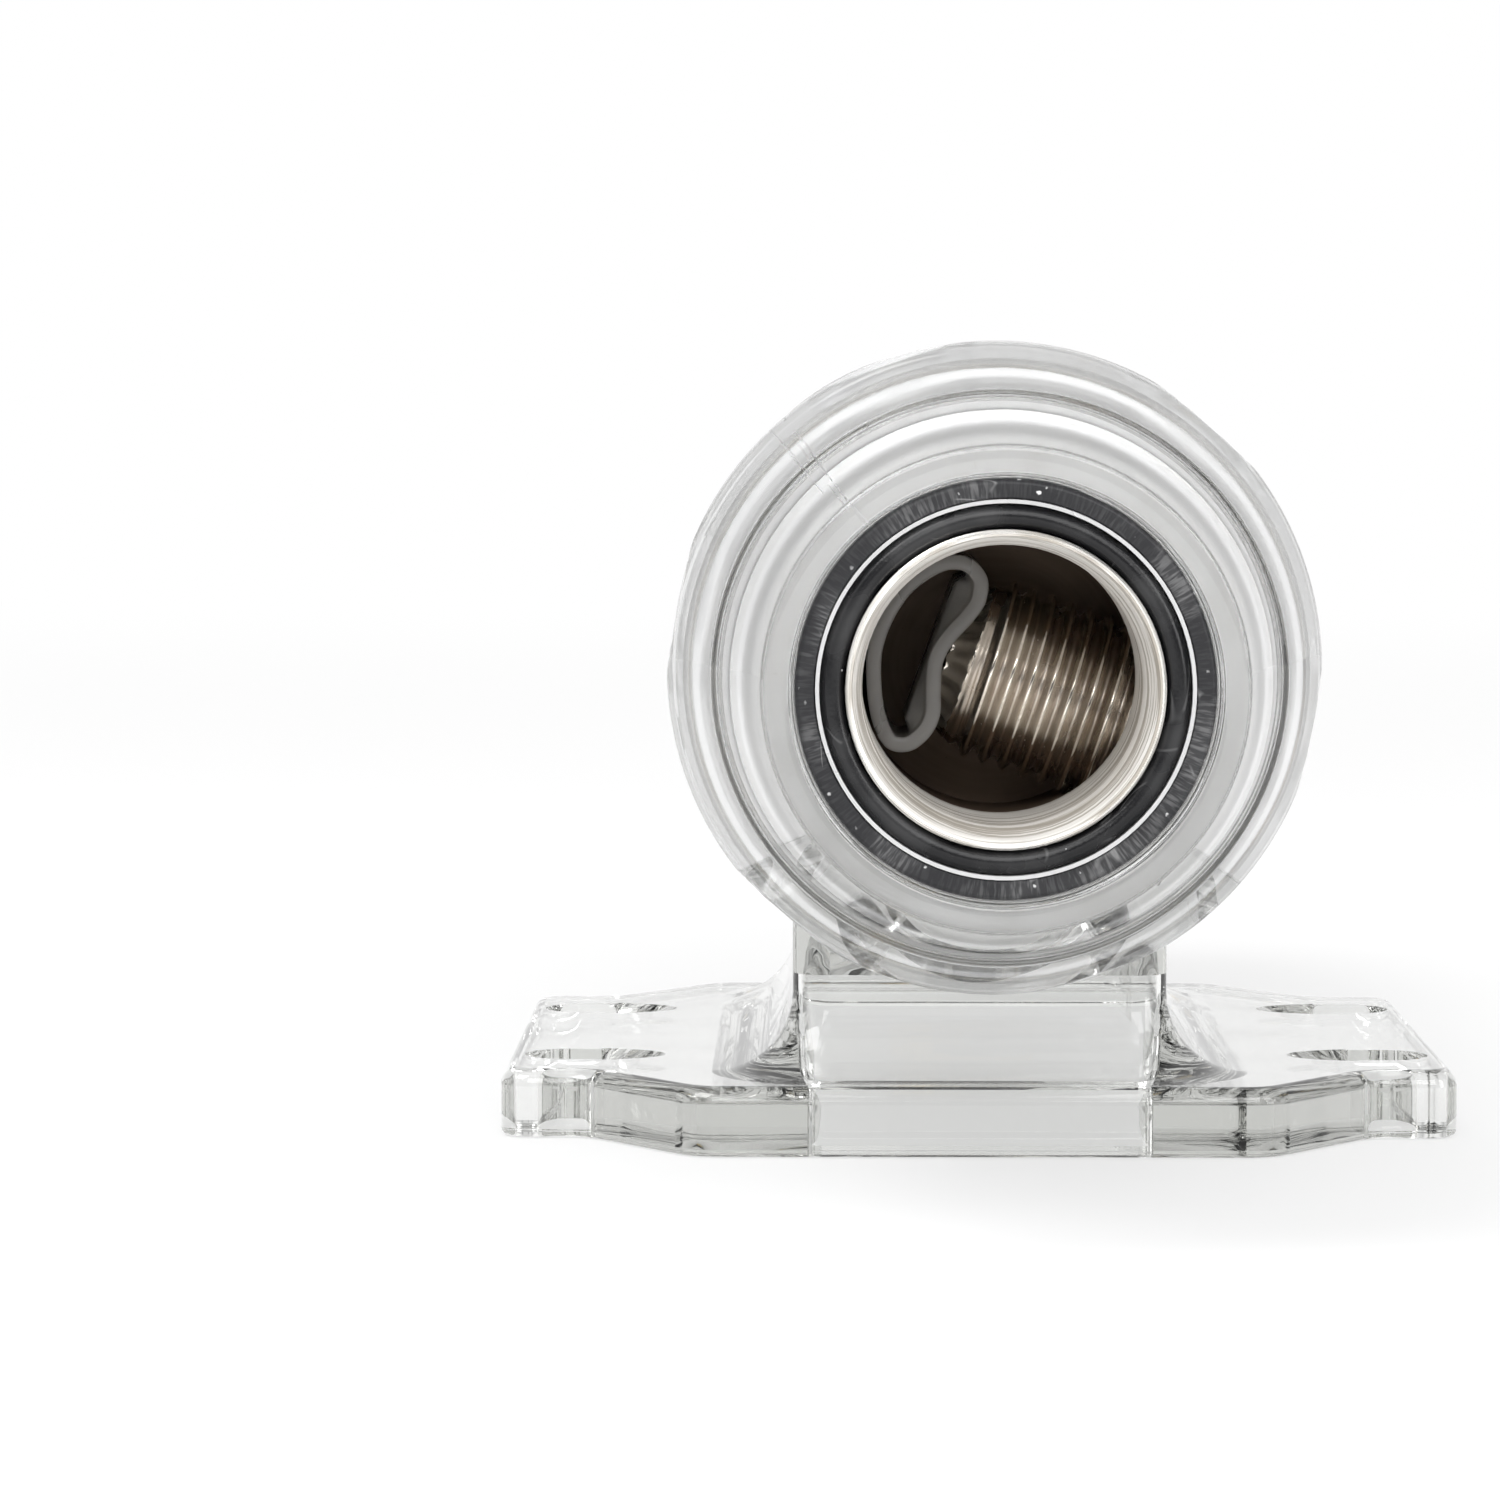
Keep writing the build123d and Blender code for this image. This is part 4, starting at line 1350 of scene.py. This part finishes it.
@dataclass
class SetScrew(SubAssembly):
    """Cable set screw with a helical thread, a serrated cup point and a hexagon socket, with painted shade in
    its recesses.
    """

    end: End = End.FRONT
    along: float = 47.0 * MM
    tip: float = -2.6 * MM
    length: float = 10.0 * MM
    radius: float = 4.5 * MM
    pitch: float = 1.0 * MM
    thread_depth: float = 0.55 * MM
    crest_flat: float = 0.12
    rows_per_pitch: int = 25
    run_in: float = 0.8 * MM
    run_out: float = 0.5 * MM
    run_out_stop: float = 0.35 * MM
    top_edge: float = 0.4 * MM
    point_radius: float = 3.2 * MM
    point_length: float = 1.3 * MM
    point_gap: float = 0.1 * MM
    cup_depth: float = 1.0 * MM
    rim_width: float = 0.3 * MM
    teeth: int = 22
    tooth_depth: float = 0.26 * MM
    point_rows: int = 8
    top_inset: float = 0.35 * MM
    socket_flats: float = 4.0 * MM
    socket_depth: float = 3.5 * MM
    socket_edge: float = 0.12 * MM
    socket_point: float = 0.4 * MM
    # Painted shade on the thread's flanks and roots: its strength, and how fast it rises with depth.
    flank_shade: float = 0.42
    shade_rise: float = 1.6
    around: int = 144

    @property
    def core(self) -> float:
        """Radius at the thread's root."""
        return self.radius - self.thread_depth

    def cup(self, tooth: np.ndarray) -> Band:
        """Hollow of the cup point with its serrated rim.

        Args:
            tooth: 1 on a tooth of the rim and 0 between two, round the screw.

        Returns:
            Its rows, from the middle out.
        """
        rows = np.linspace(0.05, 1.0, self.point_rows)[:, None]
        radius = rows * (self.point_radius - self.rim_width) + 0.0 * tooth
        height = self.cup_depth * (1.0 - rows**2) + self.tooth_depth * tooth * rows**4
        rim_radius = np.full_like(tooth, self.point_radius)
        rim_height = self.tooth_depth * tooth * 0.5
        # Painted shade: darkest in the middle of the cup's hollow, and between the rim's teeth.
        recess_shade = np.concatenate([0.5 - 0.4 * tooth * rows, 0.2 * (1.0 - tooth)])
        return Band(np.concatenate([radius, rim_radius]), np.concatenate([height, rim_height]), recess_shade)

    def cone(self, tooth: np.ndarray) -> Band:
        """Serrated cone from the rim to the thread.

        Args:
            tooth: 1 on a tooth of the rim and 0 between two, round the screw.

        Returns:
            Its rows, from the rim up.
        """
        rows = np.linspace(0.15, 1.0, self.point_rows)[:, None]
        swell = np.sin(math.pi * rows) ** 0.5
        radius = self.point_radius + (self.core - self.point_radius) * rows
        radius = radius - self.tooth_depth * tooth * swell
        height = rows * (self.point_length - self.point_gap) + 0.0 * tooth
        # Painted shade in the cone's serrations.
        return Band(radius, height, 0.5 * tooth**2 * swell)

    def thread(self, angle: np.ndarray) -> Band:
        """Thread with straight flanks between narrow flat crests and roots, one pitch up in each turn.

        Args:
            angle: direction round the screw.

        Returns:
            Its rows, from the point up. Painted shade grows towards the roots.
        """
        steps = int((self.length - self.point_length - self.top_edge) / self.pitch * self.rows_per_pitch)
        height = np.linspace(self.point_length, self.length - self.top_edge, steps)[:, None]
        phase = (height / self.pitch - angle / (2 * math.pi)) % 1.0
        from_crest = np.abs(phase - 0.5)
        fall = np.clip((from_crest - self.crest_flat / 2) / (0.5 - self.crest_flat), 0.0, 1.0)
        full = self.radius - self.thread_depth * fall
        fade_in = smooth_step((height - self.point_length) / self.run_in)
        fade_out = smooth_step((self.length - self.run_out_stop - height) / self.run_out)
        radius = self.core + (full - self.core) * np.minimum(fade_in, fade_out)
        depth = self.shade_rise * (self.radius - radius) / self.thread_depth
        return Band(radius, height + 0.0 * angle, self.flank_shade * np.clip(depth, 0.0, 1.0))

    def socket(self, angle: np.ndarray) -> Band:
        """Flat top and hexagon socket.

        Args:
            angle: direction round the screw.

        Returns:
            Its rows, from the top's edge to the middle of the socket's floor.
        """
        sixth = math.pi / 3
        hexagon = self.socket_flats / 2 / np.cos((angle + sixth / 2) % sixth - sixth / 2)
        ring = np.ones_like(angle)
        top = self.length
        floor = top - self.socket_depth
        # The third number of each row is painted shade, growing down into the socket.
        rows = (
            ((self.core - self.top_inset) * ring, top, 0.0),
            (hexagon + self.socket_edge, top, 0.2),
            (hexagon, top - self.socket_edge, 0.5),
            (hexagon, floor, 1.0),
            (hexagon * 0.05, floor - self.socket_point, 1.0),
        )
        radius, height, recess_shade = (np.concatenate([row[k] * ring for row in rows]) for k in range(3))
        return Band(radius, height, recess_shade)

    def outline(self) -> tuple[np.ndarray, np.ndarray]:
        """Grid of the whole screw in its own frame, from the middle of the cup to the middle of the socket.

        Returns:
            Array (rows, around, 3) of points and array (rows, around) of painted shade.
        """
        angle = whole_turn(self.around)
        tooth = np.abs(((angle * self.teeth / (2 * math.pi)) % 1.0) - 0.5) * 2.0
        bands = (self.cup(tooth), self.cone(tooth), self.thread(angle), self.socket(angle))
        radius = np.concatenate([band.radius for band in bands])
        level = np.concatenate([band.height for band in bands]) + self.tip
        recess_shade = np.concatenate([band.recess_shade for band in bands])
        points = np.stack([radius * np.cos(angle), radius * np.sin(angle) - self.along, level], axis=-1)
        return points, recess_shade

    def build(self) -> None:
        """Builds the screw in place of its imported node."""
        side = self.end.value
        outline, recess_shade = self.outline()
        points = FRAME.in_cartridge(outline, self.end)
        piece = surface(f"set_screw_thread_{side}", points, poles=True, crease_deg=50.0, worn_and_shaded=recess_shade)
        node = self.end.node("cable_set_screw")
        self.stand_in(piece, NICKEL_SCREW, node, f"set_screw_{side}", "nickel_screw")


@dataclass
class BoreSleeve(SubAssembly):
    """Soft tube that the set screw has pushed in against the bore's wall."""

    end: End = End.FRONT
    front: float = 51.6 * MM
    length: float = 9.0 * MM
    wall: float = 0.72 * MM
    dent: float = -2.75 * MM
    dent_half_width: float = 4.3 * MM
    dent_side: float = 0.8 * MM
    dent_start: float = 0.2 * MM
    dent_run: float = 1.2 * MM
    lip: float = 0.15
    around: int = 200
    along: int = 36
    outline: tuple[tuple[float, float], ...] = (
        (-4.40, -4.60),
        (-4.87, -3.29),
        (-4.31, -2.15),
        (-3.17, -1.77),
        (-2.11, -1.99),
        (-0.84, -2.50),
        (0.30, -2.70),
        (1.56, -2.36),
        (2.79, -1.96),
        (3.92, -2.08),
        (4.90, -2.75),
        (5.11, -3.86),
        (4.15, -4.94),
        (2.53, -5.82),
        (0.78, -6.36),
        (-1.09, -6.34),
        (-2.88, -5.80),
    )

    def tube(self) -> np.ndarray:
        """Grid of the tube: the outline carried along the barrel, out on one wall and back on the other.

        Behind its front the side under the screw is pressed flat, down to the dent's level.

        Returns:
            Array (rows, around, 3) of a closed ring of rows.
        """
        outer = closed_curve(np.array(self.outline) * MM, self.around)
        ahead = np.roll(outer, -1, axis=0) - np.roll(outer, 1, axis=0)
        following = np.roll(outer, -1, axis=0)
        area = float(np.sum(outer[:, 0] * following[:, 1] - outer[:, 1] * following[:, 0]))
        inward = np.stack([-ahead[:, 1], ahead[:, 0]], axis=-1) * math.copysign(1.0, area)
        inward /= np.linalg.norm(inward, axis=1, keepdims=True)
        edge = np.linspace(0.0, math.pi, 9)[1:-1]
        run = np.linspace(0.0, 1.0, self.along)
        turned = self.wall / 2 * (1.0 - np.cos(edge))
        inset = np.concatenate([np.zeros(self.along), turned, np.full(self.along, self.wall)])
        lip = -self.lip * self.wall * np.sin(edge)
        depth = np.concatenate([self.length * (1.0 - run), lip, self.length * run])
        section = outer[None, :, :] + inward[None, :, :] * inset[:, None, None]
        x, z = section[..., 0], section[..., 1]
        pressed = smooth_step((depth - self.dent_start) / self.dent_run)[:, None]
        under = smooth_step((self.dent_half_width - np.abs(x)) / self.dent_side)
        z = z - pressed * under * np.maximum(0.0, z - self.dent + inset[:, None])
        y = np.broadcast_to((depth - self.front)[:, None], x.shape)
        return np.stack([x, y, z], axis=-1)

    def build(self) -> None:
        """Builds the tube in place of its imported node."""
        points = FRAME.in_cartridge(self.tube(), self.end)
        piece = surface(f"pinched_sleeve_{self.end.value}", points, wrap_rows=True, crease_deg=60.0)
        self.stand_in(piece, TUBE, self.end.node("bore_sleeve"), "holder", "soft_clear_tube")


@dataclass
class CableSocket(SubAssembly):
    """A cable terminal with its set screw and soft sleeve."""

    end: End = End.FRONT

    def build(self) -> None:
        """Dresses the terminal and builds its screw and sleeve."""
        self.dress({"terminal": NICKEL_TURNED}, (self.end,))
        SetScrew(self.nodes, self.end).build()
        BoreSleeve(self.nodes, self.end).build()


@dataclass
class FuseCartridge(SubAssembly):
    """The fuse, its clamp screws and washers."""

    def build(self) -> None:
        """Dresses the fuse and what clamps it."""
        both = (End.FRONT, End.REAR)
        self.dress({"fuse_link": GOLD, "fuse_housing_upper": HOUSING, "fuse_housing_lower": HOUSING})
        self.dress({"fuse_pane_upper": CLEAR_PANE, "fuse_pane_lower": CLEAR_PANE})
        self.dress({"fuse_rivet": RIVET_BRASS}, both)
        self.dress({"clamp_screw": ZINC_STEEL, "flat_washer": ZINC_STEEL, "spring_washer": ZINC_STEEL}, both)


@dataclass(frozen=True)
class SoftBox:
    """A glowing disc of the world, as mirrors and clear pieces see it.

    It has a direction, a half angle, a soft edge and a level, and may have a dark frame of some degrees
    round it.
    """

    way: tuple[float, float, float]
    spread: float
    soft: float
    level: float
    frame: float = 0.0


@dataclass(frozen=True)
class Lamp:
    """A rectangular lamp that faces the holder: place, width and height, and power in watts."""

    name: str
    at: tuple[float, float, float]
    size: tuple[float, float]
    watts: float


@dataclass
class Studio:
    """Floor, backdrop, world, lamps and camera."""

    mirror_room: float = 0.1
    clear_room: float = 0.72
    frame_level: float = 0.08
    frame_core: float = 0.4
    ambient: float = 0.6
    boxes: tuple[SoftBox, ...] = (
        SoftBox((0.0, 1.0, 0.1), 52.0, 16.0, 1.0, 3.0),
        SoftBox((-0.85, -0.15, 0.5), 24.0, 10.0, 1.1),
        SoftBox((0.9, -0.3, 0.3), 16.0, 8.0, 0.9),
        SoftBox((0.0, -0.2, 1.0), 18.0, 10.0, 1.0),
        SoftBox((-0.3, -1.0, 0.9), 12.0, 5.0, 0.8),
    )
    lamps: tuple[Lamp, ...] = (
        Lamp("key_box", (-0.45, -0.35, 0.75), (0.5, 0.5), 5.0),
        Lamp("fill_box", (0.7, -0.5, 0.35), (0.25, 0.6), 2.2),
        Lamp("front_box", (0.1, -0.75, 0.5), (0.8, 0.5), 5.0),
    )
    lamp_target: tuple[float, float, float] = (0.0, 0.0, 0.03)
    floor_near: float = -1.6
    floor_far: float = 1.0
    floor_half_width: float = 2.0
    floor_drop: float = 0.05 * MM
    bend: float = 0.4
    wall_top: float = 1.4
    paint: Colour = (0.88, 0.88, 0.88, 1.0)
    back_glow: tuple[float, float] = (0.05, 0.7)
    back_glow_least: float = 0.62
    near_glow: tuple[float, float] = (-0.18, -0.07)
    near_floor: float = 1.7
    camera_at: tuple[float, float, float] = (-8.0 * MM, -326.0 * MM, 41.3 * MM)
    focal_pixels: float = 5700.0
    image_pixels: float = 1500.0
    look_pixels: tuple[float, float] = (82.0, 375.0)
    sensor: float = 36.0
    clip: tuple[float, float] = (0.01, 20.0)

    def build(self) -> None:
        """Builds the whole studio."""
        self.floor()
        self.world()
        for lamp in self.lamps:
            self.light(lamp)
        self.camera()

    def floor(self) -> None:
        """Floor that sweeps up into a backdrop: flat, a quarter circle, then upright."""
        flat = np.stack([np.linspace(self.floor_near, self.floor_far, 30), np.zeros(30)], axis=-1)
        turn = np.linspace(0.0, math.pi / 2, 24)[1:]
        curve_y = self.floor_far + self.bend * np.sin(turn)
        curve = np.stack([curve_y, self.bend * (1.0 - np.cos(turn))], axis=-1)
        wall_z = np.linspace(self.bend, self.wall_top, 11)[1:]
        wall = np.stack([np.full(10, self.floor_far + self.bend), wall_z], axis=-1)
        line = np.concatenate([flat, curve, wall])
        across = np.linspace(-self.floor_half_width, self.floor_half_width, 12)
        y, x = np.broadcast_arrays(line[:, None, 0], across[None, :])
        z = np.broadcast_to(line[:, None, 1] - self.floor_drop, x.shape)
        sweep = surface("studio_sweep", np.stack([x, y, z], axis=-1), wrap_columns=False, crease_deg=80.0)
        sweep.data.materials.append(self.floor_paint())

    def floor_paint(self) -> bpy.types.Material:
        """White paint that glows behind the holder, and ahead of it for mirrors only.

        Returns:
            The material.
        """
        made = bpy.data.materials.new("studio_white")
        made.use_nodes = True
        sheet = Sheet(made.node_tree)
        made.node_tree.nodes.clear()
        paint = sheet.wire(sheet.add("BsdfDiffuse"), Color=self.paint)
        place = sheet.wire(sheet.add("SeparateXYZ"), Vector=sheet.add("TexCoord").outputs["Object"])
        depth = place.outputs["Y"]
        behind = sheet.spread(depth, *self.back_glow, self.back_glow_least, 1.0)
        ahead = sheet.spread(depth, *self.near_glow, 1.0, 0.0)
        ahead = sheet.times(ahead, sheet.add("LightPath").outputs["Is Glossy Ray"])
        strength = sheet.maths("MULTIPLY_ADD", ahead, self.near_floor - 1.0, 1.0)
        shine = sheet.wire(sheet.add("Emission"), Color=WHITE, Strength=strength)
        mix = sheet.add("MixShader")
        glow = sheet.maths("MAXIMUM", behind, ahead)
        sheet.feed(mix.inputs[0], sheet.times(self.seen(sheet), glow))
        sheet.feed(mix.inputs[1], paint.outputs[0])
        sheet.feed(mix.inputs[2], shine.outputs[0])
        sheet.wire(sheet.add("OutputMaterial"), Surface=mix.outputs[0])
        return made

    def seen(self, sheet: Sheet) -> Socket:
        """1 for rays from the camera, mirrors and clear pieces, else 0.

        Args:
            sheet: the tree that asks.

        Returns:
            The output socket.
        """
        path = sheet.add("LightPath")
        total = sheet.maths("MAXIMUM", path.outputs["Is Camera Ray"], path.outputs["Is Glossy Ray"])
        return sheet.maths("MAXIMUM", total, path.outputs["Is Transmission Ray"])

    def room(self, sheet: Sheet) -> Socket:
        """What mirrors and clear pieces see: a dim room with soft boxes, paler for clear pieces.

        Args:
            sheet: the world's tree.

        Returns:
            The strength.
        """
        way = sheet.add("TexCoord").outputs["Generated"]
        through = sheet.add("LightPath").outputs["Is Transmission Ray"]
        room = sheet.times(through, self.clear_room - self.mirror_room)
        room = sheet.plus(self.mirror_room, room)
        for box in self.boxes:
            facing = sheet.vectors("DOT_PRODUCT", way, Vector(box.way).normalized()).outputs["Value"]
            outer = math.cos(math.radians(box.spread + box.soft))
            inner = math.cos(math.radians(box.spread))
            glow = sheet.spread(facing, outer, inner, 0.0, box.level)
            room = sheet.maths("MAXIMUM", room, glow)
            if box.frame:
                half = math.radians(box.frame) / 2
                edge = math.radians(box.spread + box.soft) + half
                angle = sheet.maths("ARCCOSINE", facing)
                off = sheet.maths("ABSOLUTE", sheet.minus(angle, edge))
                shade = sheet.spread(off, self.frame_core * half, half, self.frame_level, 1.0)
                room = sheet.times(room, shade)
        return room

    def world(self) -> None:
        """Even pale light for dull surfaces, and the room for mirrors and clear pieces."""
        world = bpy.data.worlds.new("studio_light")
        bpy.context.scene.world = world
        world.use_nodes = True
        sheet = Sheet(world.node_tree)
        world.node_tree.nodes.clear()
        mix = sheet.add("MixShader")
        sheet.feed(mix.inputs[0], self.seen(sheet))
        for slot, strength in ((1, self.ambient), (2, self.room(sheet))):
            light = sheet.wire(sheet.add("Background"), Color=WHITE, Strength=strength)
            sheet.feed(mix.inputs[slot], light.outputs[0])
        sheet.wire(sheet.add("OutputWorld"), Surface=mix.outputs[0])

    def light(self, lamp: Lamp) -> None:
        """Hangs one lamp.

        Args:
            lamp: the lamp.
        """
        light = bpy.data.lights.new(lamp.name, "AREA")
        light.shape = "RECTANGLE"
        light.size, light.size_y = lamp.size
        light.energy = lamp.watts
        made = bpy.data.objects.new(lamp.name, light)
        made.location = lamp.at
        aim = Vector(self.lamp_target) - Vector(lamp.at)
        made.rotation_euler = aim.to_track_quat("-Z", "Y").to_euler()
        bpy.context.scene.collection.objects.link(made)

    def camera(self) -> None:
        """Camera at the photograph's place, from the vanishing point of the barrel's direction."""
        data = bpy.data.cameras.new("camera")
        data.sensor_width = self.sensor
        data.lens = self.focal_pixels / self.image_pixels * self.sensor
        data.clip_start, data.clip_end = self.clip
        camera = bpy.data.objects.new("camera", data)
        camera.location = self.camera_at
        left, down = self.look_pixels
        look = Vector((-left / self.focal_pixels, 1.0, -down / self.focal_pixels))
        camera.rotation_euler = look.to_track_quat("-Z", "Y").to_euler()
        bpy.context.scene.collection.objects.link(camera)
        bpy.context.scene.camera = camera


def render_settings() -> None:
    """Colour handling and the light's depth for nested clear pieces."""
    scene = bpy.context.scene
    scene.view_settings.view_transform = "Standard"
    scene.cycles.max_bounces = 24
    scene.cycles.transmission_bounces = 20
    scene.cycles.glossy_bounces = 8
    scene.cycles.diffuse_bounces = 4


def corners(box: tuple) -> list[list[float]]:
    """A box's lowest and highest corner as plain numbers."""
    return [[float(n) for n in corner] for corner in box]


def main() -> None:
    """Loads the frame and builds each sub-assembly in order."""
    logging.basicConfig(level=logging.INFO, format="%(name)s: %(message)s")
    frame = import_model()
    nodes = frame["nodes"]
    parts: list[SubAssembly] = [Moulding(nodes)]
    for end in End:
        parts += [CapEnd(nodes, end), CableSocket(nodes, end)]
    parts.append(FuseCartridge(nodes))
    for part in parts:
        part.build()
    Studio().build()
    render_settings()
    log.info("built %d sub-assemblies", len(parts))


if __name__ == "__main__":
    main()
